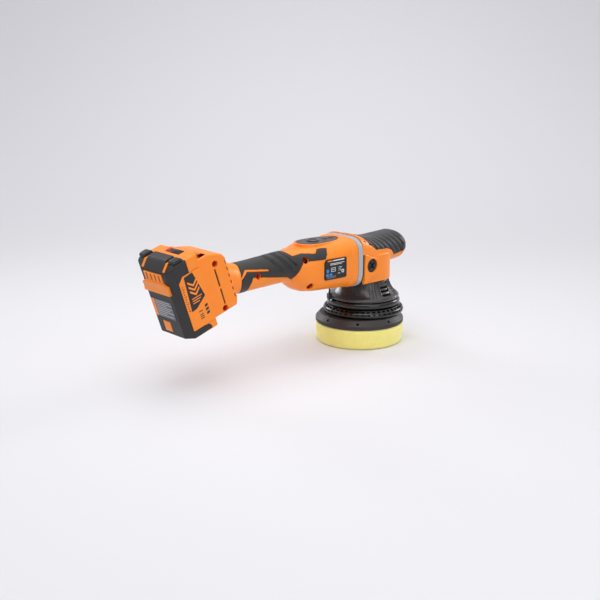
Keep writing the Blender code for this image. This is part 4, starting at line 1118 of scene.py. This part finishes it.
def foam_pad():
    """The foam pad: crowned sides, rounded edges, and the slightly uneven skin of cut foam."""
    foot = [(0.0045, 0.0012), (0.0058, 0.0), (0.0300, 0.0), (0.0450, 0.0), (0.0570, 0.0)]
    side = [(0.0590, 0.0003), (0.0602, 0.0013), (0.0608, 0.0032)]
    side += [(0.0609 + 0.0014 * (k / 12) + 0.0004 * math.sin(math.pi * k / 12),
              0.0032 + 0.0216 * k / 12) for k in range(1, 13)]
    side += [(0.0620, 0.0266), (0.0612, 0.0275)]
    top = [(0.0500, 0.0277), (0.0300, 0.0277), (0.0045, 0.0277)]
    bm = spun(foot + side + top, 180, (PAD_CENTRE.x, 0, 0))
    bm.normal_update()
    for vert in bm.verts:
        radius = math.hypot(vert.co.x - PAD_CENTRE.x, vert.co.y)
        if radius > 0.055 and 0.0002 < vert.co.z < 0.0272:
            uneven = noise.noise(vert.co * 90) * 0.00022 + noise.noise(vert.co * 420) * 0.00012
            vert.co += vert.normal * (uneven - 0.00012)
    foam = object_from(bm, "foam_pad_soft")
    finished(foam, kept(open_foam, colours().foam), "pad", "foam", ("foam_pad",))
    finer = foam.modifiers.new("finer", "SUBSURF")
    finer.levels = finer.render_levels = 1
    cloth = spun([(0.0046, 0.02775), (0.0619, 0.02775), (0.0622, 0.02790), (0.0619, 0.02805),
                  (0.0046, 0.02805)], 160, (PAD_CENTRE.x, 0, 0))
    piece(cloth, "pad_loop_cloth", kept(loop_cloth, linear("e9e2cf")), "pad", "foam")


# ---- controls and label ----
def control_panel():
    """The satin oval panel with its light window and its keys."""
    rim = prism(panel_outline(), PANEL_Z[0], PANEL_Z[1], "XY")
    softened(rim, 0.0009, 3, 40.0)
    panel = object_from(rim, "control_panel_plate")
    floor = PANEL_Z[0] + 0.0012
    holes = [cylinder(0.0093, (POWER_X, 0, floor), (POWER_X, 0, 0.17), 48)]
    holes += [cylinder(0.0041, (x, 0, floor), (x, 0, 0.17), 32) for x in SPEED_X]
    holes += [box((-0.0868, -0.0075, PANEL_Z[0] + 0.0016), (-0.0832, 0.0075, 0.17))]
    carve(panel, object_from(gathered(holes), "openings"))
    finished(panel, kept(panel_nylon), "housing", "black_plastic", ("control_panel",), 0.0002)
    top = PANEL_Z[1]
    crown = [(0, -0.0012), (0.0088, -0.0012), (0.0088, 0.0006), (0.0085, 0.0011), (0.0078, 0.0014),
             (0.0070, 0.0014), (0.0058, 0.0009), (0.0030, 0.0006), (0, 0.0006)]
    key = spun(crown, 64, (POWER_X, 0, top), closed=False)
    piece(key, "power_key_gloss", gloss(), "power_key", "button_plastic", ("power_button",))
    crown = [(0, -0.0002), (0.0037, -0.0002), (0.0037, 0.0003), (0.0034, 0.0006),
             (0.0028, 0.0007), (0, 0.00075)]
    for name, x in zip(("speed_down", "speed_up"), SPEED_X):
        key = spun(crown, 40, (x, 0, top), closed=False)
        piece(key, name + "_key_cap", rubber(), name + "_key", "button_plastic", (name +
              "_button",))
    dressed("lamp_lens", "lamp_window", kept(smoked_lens), 0.0002, "lamp_lens")


def panel_nylon():
    """Nylon with a satin face, a touch smoother than the battery case."""
    return moulded("nylon_satin_black", linear("363437"), 0.34, 0.8, 0.02, 0.08, 1.53, 0.05)


def stripes(rows, low, high):
    """Thin printed bars from their corners."""
    return gathered([prism(((a, c), (b, c), (b, d), (a, d)), low, high) for a, c, b, d in rows])


def rating_label():
    """A dark film label with plain generic marks: bars, a ring and three discs."""
    plate = prism(rounded(LABEL, 0.0008), -0.0374, -0.0358)
    piece(plate, "rating_film", printed("polyester_film_black", "100f11", 0.45), "housing",
          "label_film", ("rating_plate",), 0.0001)
    face = (-0.03750, -0.03742)
    orange_rows = ((-0.1050, 0.1320, -0.0960, 0.1334),)
    white_rows = [(-0.0950, 0.1320, -0.0745, 0.1334), (-0.1010, 0.1284, -0.0745, 0.1291),
                  (-0.1000, 0.1268, -0.0790, 0.1274), (-0.0850, 0.1225, -0.0790, 0.1230),
                  (-0.0850, 0.1205, -0.0800, 0.1210), (-0.0850, 0.1180, -0.0795, 0.1185),
                  (-0.0860, 0.1140, -0.0820, 0.1146)]
    grey_rows = [(-0.1060, 0.1096 + 0.0016 * k, -0.0900, 0.1103 + 0.0016 * k) for k in (0, 1)]
    for name, rows, code in (("label_marks_orange", orange_rows, "f08a3c"),
                             ("label_marks_white", white_rows, "e8e8ea"),
                             ("label_marks_grey", grey_rows, "86868c")):
        piece(stripes(rows, *face), name, printed("ink_" + name, code), "housing", "label_film")
    rings = [stripes(((-0.0985, 0.1178, -0.0905, 0.1184), (-0.0985, 0.1226, -0.0905, 0.1232),
                      (-0.0985, 0.1184, -0.0979, 0.1226), (-0.0911, 0.1184, -0.0905, 0.1226),
                      (-0.0968, 0.1202, -0.0922, 0.1208)), *face),
             ring(-0.0772, 0.1165, 0.0024, 0.0014, face)]
    piece(gathered(rings), "label_marks_rings", printed("ink_ring_white", "e8e8ea"), "housing",
          "label_film")
    discs = [ring(x, z, 0.0026, 0.0, face)
             for x, z in ((-0.1048, 0.1195), (-0.1052, 0.1137), (-0.0990, 0.1137))]
    piece(gathered(discs), "label_marks_discs", printed("ink_disc_blue", "2f7fc4"), "housing",
          "label_film")


def ring(x, z, outer, inner, face):
    """A printed ring, or a disc where inner is 0."""
    steps = 28
    turns = [math.radians(359 * k / steps) for k in range(steps + 1)]
    points = [(x + outer * math.cos(t), z + outer * math.sin(t)) for t in turns]
    if inner:
        points += [(x + inner * math.cos(t), z + inner * math.sin(t)) for t in reversed(turns)]
    return prism(points, *face)


# ---- battery ----
def side_panel(grow=0.0):
    """Side view of a pack's side panel, its top rear corner cut off."""
    return widened(((0.0082, 0.0095), (0.0082, 0.0740), (0.0155, 0.0810), (0.0425, 0.0810),
                    (0.0425, 0.0095)), grow)


LATCH = ((-0.0260, 0.0605), (0.0260, 0.0605), (0.0260, 0.0725), (0.0185, 0.0765),
         (0.0185, 0.0876), (-0.0185, 0.0876), (-0.0185, 0.0765), (-0.0260, 0.0725))
CHAMFER = (Vector((0.0, 0.0, 0.0885)), Vector((-0.0095, 0.0, 0.0100)).normalized())
DISPLAY = (0.0339, 0.0426)        # rear and front edge of the charge display


def panel_tools():
    """Recesses for both side panels."""
    parts = []
    for side in (-1, 1):
        near, far = between(side, PACK_HALF_WIDTH - 0.0012 - FIT, 0.0410)
        parts.append(prism(side_panel(FIT), near, far))
    return parts


def battery_case():
    """The pack's black rear case with its stepped crown, latch opening and windows."""
    half = PACK_HALF_WIDTH
    plan = ((0.0, -0.0245), (0.0068, -half), (PACK_SEAM, -half), (PACK_SEAM, half),
            (0.0068, half), (0.0, 0.0245))
    body = prism(plan, 0.0, PACK_HEIGHT, "XY")
    bmesh.ops.bisect_plane(body, geom=body.verts[:] + body.edges[:] + body.faces[:],
                           plane_co=CHAMFER[0], plane_no=CHAMFER[1], clear_outer=True)
    bmesh.ops.holes_fill(body, edges=[e for e in body.edges if e.is_boundary], sides=0)
    softened(body, 0.0014, 4, 20.0, lambda e: all(v.co.x > PACK_SEAM - 0.00001 for v in e.verts))
    case = object_from(body, "battery_case_moulding")
    crown = prism(((0.0015, 0.0870), (0.0012, 0.0908), (0.0080, 0.0980), (0.0118, 0.1012),
                   (0.0140, 0.1020), (0.0242, 0.1020), (0.0242, 0.0950)), -0.0192, 0.0192)
    softened(crown, 0.0008, 2, 20.0, lambda e: all(v.co.z < 0.096 for v in e.verts))
    carve(case, object_from(crown, "crown"), "UNION")
    openings = [prism(widened(LATCH, FIT), -0.01, 0.0075, "YZ"),
                box((-0.001, -0.0200, 0.0240), (0.0006, 0.0280, 0.0500)),
                box((-0.001, -0.0022, 0.0046), (0.0006, 0.0127, 0.0194))]
    carve(case, object_from(gathered(openings + panel_tools()), "openings"))
    case.data.transform(PACK)
    edited(case, tidy_mesh)
    finished(case, nylon(), "battery", "black_plastic", ("battery_case",), 0.0003)


def battery_shell():
    """The pack's orange front shell with its T rail."""
    half, seam, rail, lip = PACK_HALF_WIDTH, PACK_SEAM + FIT, 0.0200, 0.0236
    plan = ((seam, -half), (0.0420, -half), (PACK_FACE, -half + 0.0020), (PACK_FACE, -rail),
            (0.0486, -rail), (0.0486, -lip), (0.0520, -lip), (0.0520, lip), (0.0486, lip),
            (0.0486, rail), (PACK_FACE, rail), (PACK_FACE, half - 0.0020), (0.0420, half),
            (seam, half))
    shell = object_from(prism(plan, 0.0, PACK_HEIGHT, "XY"), "battery_shell_moulding")
    openings = [box((PACK_FACE, -0.04, low), (0.060, 0.04, high))
                for low, high in ((-0.0010, 0.0108), (0.0870, 0.0990))]
    openings += [box((0.0455, y - 0.0011, -0.0020), (0.0560, y + 0.0011, 0.0330))
                 for y in (-0.0105, -0.0035, 0.0035, 0.0105)]
    for tool in openings:
        carve(shell, object_from(tool, "opening"))
    carve(shell, object_from(gathered(panel_tools() + [box(
        (DISPLAY[0] - 0.0004, -0.0146, 0.0968), (DISPLAY[1] + 0.0004, 0.0146, 0.1000))]), "recess"))
    collar = prism(((0.0436, 0.0884), (0.0436, 0.0966), (0.0500, 0.0950), (0.0590, 0.0884)),
                   -0.0240, 0.0240)
    softened(collar, 0.0012, 3, 20.0, lambda e: all(v.co.x < 0.0437 for v in e.verts))
    carve(shell, object_from(collar, "collar"), "UNION")
    shell.data.transform(PACK)
    finished(shell, orange(), "battery", "orange_plastic", ("battery_shell",), 0.0007, 3)


def battery_panels():
    """Orange side panels with a dark printed shield, and a few plain printed bars."""
    ink = printed("ink_black_on_abs", "1c1b1c", 0.45)
    for word, side in SIDES:
        near, far = between(side, PACK_HALF_WIDTH - 0.0012, PACK_HALF_WIDTH + 0.0003)
        plate = prism(rounded(side_panel(), 0.0012), near, far, "XZ", PACK)
        piece(plate, "battery_side_panel_" + word, orange(), "battery", "orange_plastic",
              ("battery_panel_" + word,), 0.0003)
        face = between(side, PACK_HALF_WIDTH + 0.00032, PACK_HALF_WIDTH + 0.00040)
        shield = prism(rounded(((0.0168, 0.0790), (0.0300, 0.0800), (0.0379, 0.0449),
                                (0.0216, 0.0348), (0.0136, 0.0338)), 0.0006), *face, "XZ", PACK)
        marks = [prism(((0.0330, s), (0.0375, s + 0.0010), (0.0375, s + 0.0042),
                        (0.0330, s + 0.0032)), *face, "XZ", PACK)
                 for s in (0.0205, 0.0255, 0.0305)]
        marks += [box((0.0228, face[0], s), (0.0282, face[1], s + 0.0012), PACK)
                  for s in (0.0190, 0.0215, 0.0240, 0.0285)]
        piece(gathered([shield] + marks), "battery_print_" + word, ink, "battery",
              "orange_plastic")
        over = between(side, PACK_HALF_WIDTH + 0.00042, PACK_HALF_WIDTH + 0.00048)
        chevrons = [prism(((0.0190, s), (0.0262, s - 0.0062), (0.0334, s), (0.0334, s + 0.0030),
                           (0.0262, s - 0.0032), (0.0190, s + 0.0030)), *over, "XZ", PACK)
                    for s in (0.0690, 0.0630, 0.0570)]
        chevrons += [box((0.0186, over[0], s), (0.0186 + w, over[1], s + 0.0012), PACK)
                     for s, w in ((0.0480, 0.0150), (0.0450, 0.0130), (0.0420, 0.0100))]
        piece(gathered(chevrons), "battery_chevrons_" + word, orange(), "battery",
              "orange_plastic")
        thin = [box((0.0100, face[0], 0.0360 + 0.0032 * k),
                    (0.0100 + 0.0018 + 0.0009 * (k % 3 == 0), face[1], 0.0372 + 0.0032 * k), PACK)
                for k in range(11)]
        piece(gathered(thin), "battery_ticks_" + word, printed("ink_brown_battery_side_panel_" +
              word, "7a3d12", 0.45), "battery", "orange_plastic")
        frame_bottom = prism(rounded(((0.0082, 0.0010), (0.0082, 0.0088), (0.0310, 0.0088),
                                      (0.0345, 0.0050), (0.0345, 0.0010)), 0.0010),
                             *between(side, 0.0350, 0.0378), "XZ", PACK)
        piece(frame_bottom, "battery_corner_block_" + word, nylon(), "battery", "black_plastic",
              (), 0.0006)


def latch():
    """The orange release key: four upright slots above a curled finger lip."""
    plate = object_from(prism(LATCH, -0.0012, 0.0018, "YZ"), "latch_plate")
    lip = prism(((-0.0012, 0.0607), (-0.0030, 0.0611), (-0.0030, 0.0628), (-0.0023, 0.0660),
                 (-0.0024, 0.0700), (-0.0030, 0.0735), (-0.0030, 0.0752), (-0.0022, 0.0762),
                 (-0.0004, 0.0762), (-0.0004, 0.0607)), -0.0270, 0.0270)
    lip = object_from(lip, "lip")
    carve(lip, object_from(prism(LATCH, -0.0100, 0.0100, "YZ"), "lip_outline"), "INTERSECT")
    carve(plate, lip, "UNION")
    slots = [box((-0.0040, y - 0.0014, 0.0776), (0.0025, y + 0.0014, 0.0864))
             for y in (-0.0128, -0.0043, 0.0043, 0.0128)]
    carve(plate, object_from(gathered(slots), "slots"))
    plate.name = "latch_key"
    edited(plate, tidy_mesh)
    plate.data.transform(PACK)
    finished(plate, orange(), "latch", "orange_plastic", ("latch_button",), 0.0004, 3)


def battery_trim():
    """Bumpers, rear label, small window, charge display and its key."""
    for word, side in SIDES:
        low, high = between(side, 0.0250, 0.0365)
        hook = prism(((0.0100, 0.0984), (0.0101, 0.1008), (0.0114, 0.1024), (0.0140, 0.1030),
                      (0.0205, 0.1030), (0.0233, 0.1018), (0.0240, 0.0984)), low, high)
        softened(hook, 0.0010, 3, 25.0)
        hook.transform(PACK)
        piece(hook, "bumper_" + word, nylon(), "battery", "black_plastic", ("battery_bumper_" +
              word,))
        inset = prism(((0.0022, 0.0904), (0.0101, 0.0979), (0.0240, 0.0979), (0.0240, 0.0990),
                       (0.0097, 0.0990), (0.0016, 0.0912)),
                      *between(side, 0.0200, 0.0241), "XZ", PACK)
        piece(inset, "bumper_%s_inset" % word, orange(), "battery", "orange_plastic", (), 0.0002)
    film = box((-0.00020, -0.0190, 0.0244), (0.00020, 0.0238, 0.0496), PACK)
    piece(film, "rear_film", printed("polyester_film_grey", "5c5e64", 0.4), "battery",
          "label_film", ("battery_rear_label",))
    strip = box((-0.00030, 0.0172, 0.0250), (-0.00022, 0.0234, 0.0490), PACK)
    window = box((-0.00020, -0.0018, 0.0050), (0.00040, 0.0123, 0.0190), PACK)
    piece(gathered([strip, window]), "rear_orange_marks", orange(), "battery", "orange_plastic")
    rows = []
    for line in range(8):
        reach = (0.030, 0.034, 0.022, 0.032, 0.027, 0.034, 0.018, 0.030)[line]
        s = 0.0466 - 0.0028 * line
        rows.append(box((-0.00030, 0.0156 - reach, s), (-0.00022, 0.0156, s + 0.0009), PACK))
    piece(gathered(rows), "rear_film_lines", printed("ink_pale_grey", "b9bbc0"), "battery",
          "label_film")
    lens = box((DISPLAY[0], -0.0142, 0.0972), (DISPLAY[1], 0.0070, 0.0986))
    softened(lens, 0.0005, 3)
    lens.transform(PACK)
    piece(lens, "charge_display", gloss(), "battery", "gloss_black", ("gauge_lens",))
    key = box((DISPLAY[0] + 0.0006, 0.0080, 0.0980), (DISPLAY[1] - 0.0006, 0.0138, 0.0992))
    softened(key, 0.0004, 2)
    key.transform(PACK)
    piece(key, "charge_key", red_abs(), "gauge_key", "red_plastic", ("gauge_button",))


def red_abs():
    """ABS, moulded in a polished tool: bright red."""
    return moulded("abs_red", linear("c0241a"), 0.3, 0.9, 0.01, 0.05, 1.53, 0.04)


# ---- inner works ----
def inner_works():
    """Finishes for the pieces inside, which keep their CAD shapes."""
    steel = kept(plated_steel)
    groups = {
        steel: ("bearing_seat", "counterweight", "crown_gear", "drive_pinion", "drive_spindle",
                *("housing_screw_%d" % number for number in range(1, 6)),
                "motor_bearing_front", "motor_bearing_rear", "motor_rotor", "motor_shaft",
                "motor_stator", "pad_bearing", "pad_screw", "pad_spindle",
                "spindle_bearing_lower", "spindle_bearing_upper"),
        rubber(): ("rear_bearing_boot",),
        nylon(): ("motor_fan", "terminal_block"),
        moulded("epoxy_board_green", linear("1f5a35"), 0.45, 1.5, 0.01, 0.12): ("control_board",),
        moulded("cell_sleeve_blue", linear("3b5f86"), 0.4, 1.2, 0.01, 0.06): ("cell_block",),
    }
    for material, nodes in groups.items():
        for node in nodes:
            coloured(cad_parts[node], material)


# ---- stage ----
def backdrop_paper(colour):
    """Matt seamless paper: even and pale, with the faintest mottling."""
    return moulded("seamless_paper", colour, 0.9, 60.0, 0.0, 0.004, 1.4, 0.0)


def stage():
    """Pale floor that curves up behind, soft studio light, and the camera."""
    settings = bpy.context.scene.polisher_stage
    away = Vector((0.6421, 0.7245, 0)).normalized()
    across = Vector((away.y, -away.x, 0))
    bm = bmesh.new()
    profile = [(-3.0, 0.0), (0.9, 0.0)]
    profile += [(0.9 + 2.6 * math.sin(t), 2.6 * (1 - math.cos(t)))
                for t in [math.pi / 2 * k / 24 for k in range(1, 25)]]
    profile += [(3.5, 4.2)]
    rail = [bm.verts.new(away * a - across * 4.0 + Vector((0, 0, z - 0.0001))) for a, z in profile]
    edges = [bm.edges.new(pair) for pair in zip(rail, rail[1:])]
    grown = bmesh.ops.extrude_edge_only(bm, edges=edges)["geom"]
    bmesh.ops.translate(bm, verts=[v for v in grown if isinstance(v, bmesh.types.BMVert)],
                        vec=across * 8.0)
    floor = object_from(bm, "floor")
    floor.data.materials.append(backdrop_paper(settings.floor))
    for polygon in floor.data.polygons:
        polygon.use_smooth = True
    world = bpy.data.worlds.new("studio_fill")
    world.use_nodes = True
    tree = world.node_tree
    sky = tree.nodes["Background"]
    heading = add(tree, "ShaderNodeTexCoord").outputs["Generated"]
    height = add(tree, "ShaderNodeSeparateXYZ", {"Vector": heading}).outputs["Z"]
    tree.links.new(mixed(tree, spread(tree, height, 0.0, 1.0, 0.05, 0.75), (0.36, 0.36, 0.38),
                         (0.965, 0.974, 1.0)), sky.inputs["Color"])
    sky.inputs["Strength"].default_value = settings.sky
    bpy.context.scene.world = world
    lamps = (("key", (-0.55, -0.35, 1.25), 1.1, settings.key, (1.0, 0.99, 0.97)),
             ("side", (-0.25, -1.35, 0.55), 0.8, settings.key * 0.45, (1.0, 1.0, 1.0)),
             ("rim", (1.15, -0.15, 0.55), 0.55, settings.key * 0.06, (0.97, 0.98, 1.0)),
             ("strip", (-0.20, 1.15, 0.50), 0.55, settings.key * 0.06, (0.97, 0.98, 1.0)),
             ("top", (-0.10, 0.30, 1.1), 0.6, settings.key * 0.35, (1.0, 0.99, 0.97)),
             ("glow", away * 1.25 + Vector((0, 0, 1.5)), 0.9, settings.key * 1.3,
              (0.97, 0.98, 1.0)))
    aim = {"glow": away * 2.1 + Vector((0, 0, 0.25))}
    # The two low boxes are narrow beams: they put bright streaks on the ends of the gloss rings.
    target = Vector((-0.15, 0, 0.09))
    for name, place, size, power, colour in lamps:
        light = bpy.data.lights.new(name, "AREA")
        light.shape = "SQUARE"
        light.size = size
        light.energy = power
        light.color = colour
        if name in ("rim", "strip"):
            light.spread = math.radians(40)
        lamp = bpy.data.objects.new(name, light)
        bpy.context.scene.collection.objects.link(lamp)
        lamp.location = place
        lamp.visible_camera = False
        heading = aim.get(name, target) - Vector(place)
        lamp.rotation_euler = heading.to_track_quat("-Z", "Y").to_euler()
    lens = bpy.data.cameras.new("camera")
    lens.lens = settings.lens
    lens.sensor_width = 36.0
    camera = bpy.data.objects.new("camera", lens)
    bpy.context.scene.collection.objects.link(camera)
    camera.location = (-1.0472, -1.0451, 0.4372)
    camera.rotation_euler = Vector((0.6421, 0.7245, -0.2505)).to_track_quat("-Z", "Y").to_euler()
    bpy.context.scene.camera = camera
    bpy.context.scene.view_settings.view_transform = "Standard"


# ---- operators and panel ----
class BuildHousing(bpy.types.Operator):
    """Build both halves of the housing with their sunk screw holes"""
    bl_idname = "polisher.housing"
    bl_label = "Housing"

    def execute(self, context):
        housing()
        foot_inserts()
        paint_hole_shade()
        return {"FINISHED"}


class BuildGrips(bpy.types.Operator):
    """Build the soft skins on the handle"""
    bl_idname = "polisher.grips"
    bl_label = "Handle grips"

    def execute(self, context):
        grips()
        return {"FINISHED"}


class BuildHead(bpy.types.Operator):
    """Build the trim band, head cover, palm grip and side screws"""
    bl_idname = "polisher.head"
    bl_label = "Head"

    def execute(self, context):
        trim()
        gap_shade_band()
        head_cover()
        palm_grip()
        side_screws()
        return {"FINISHED"}


class BuildShroud(bpy.types.Operator):
    """Build the gear housing, shroud and stay"""
    bl_idname = "polisher.shroud"
    bl_label = "Gear housing and shroud"

    def execute(self, context):
        gear_housing()
        shroud()
        stays()
        return {"FINISHED"}


class BuildPad(bpy.types.Operator):
    """Build the backing plate and the foam pad"""
    bl_idname = "polisher.pad"
    bl_label = "Pad"

    def execute(self, context):
        backing_plate()
        foam_pad()
        return {"FINISHED"}


class BuildControls(bpy.types.Operator):
    """Build the control panel, its keys and the rating label"""
    bl_idname = "polisher.controls"
    bl_label = "Controls and label"

    def execute(self, context):
        control_panel()
        rating_label()
        return {"FINISHED"}


class BuildBattery(bpy.types.Operator):
    """Build the battery pack with its latch, prints and display"""
    bl_idname = "polisher.battery"
    bl_label = "Battery"

    def execute(self, context):
        battery_case()
        battery_shell()
        battery_panels()
        latch()
        battery_trim()
        return {"FINISHED"}


class FinishInnerWorks(bpy.types.Operator):
    """Give the pieces inside the tool their materials"""
    bl_idname = "polisher.inner_works"
    bl_label = "Inner works"

    def execute(self, context):
        inner_works()
        return {"FINISHED"}


class BuildStage(bpy.types.Operator):
    """Build the floor, the lights and the camera"""
    bl_idname = "polisher.stage"
    bl_label = "Stage"

    def execute(self, context):
        stage()
        return {"FINISHED"}


class PolisherPanel(bpy.types.Panel):
    """Lists every piece of the polisher"""
    bl_idname = "VIEW3D_PT_polisher"
    bl_label = "Polisher"
    bl_space_type = "VIEW_3D"
    bl_region_type = "UI"
    bl_category = "Polisher"

    def draw(self, context):
        for operator in OPERATORS:
            self.layout.operator(operator.bl_idname)
        for group in ("polisher_sizes", "polisher_colours", "polisher_stage"):
            settings = getattr(context.scene, group)
            box_layout = self.layout.box()
            for name in settings.__annotations__:
                box_layout.prop(settings, name)


OPERATORS = (BuildHousing, BuildGrips, BuildHead, BuildShroud, BuildPad, BuildControls,
             BuildBattery, FinishInnerWorks, BuildStage)
CLASSES = (PolisherColours, PolisherSizes, PolisherStage) + OPERATORS + (PolisherPanel,)


def register():
    for cls in CLASSES:
        bpy.utils.register_class(cls)
    bpy.types.Scene.polisher_colours = PointerProperty(type=PolisherColours)
    bpy.types.Scene.polisher_sizes = PointerProperty(type=PolisherSizes)
    bpy.types.Scene.polisher_stage = PointerProperty(type=PolisherStage)


def unregister():
    del bpy.types.Scene.polisher_stage
    del bpy.types.Scene.polisher_sizes
    del bpy.types.Scene.polisher_colours
    for cls in reversed(CLASSES):
        bpy.utils.unregister_class(cls)


def main():
    """Build the whole polisher."""
    register()
    for operator in OPERATORS:
        group, name = operator.bl_idname.split(".")
        getattr(getattr(bpy.ops, group), name)()


if __name__ == "__main__":
    main()
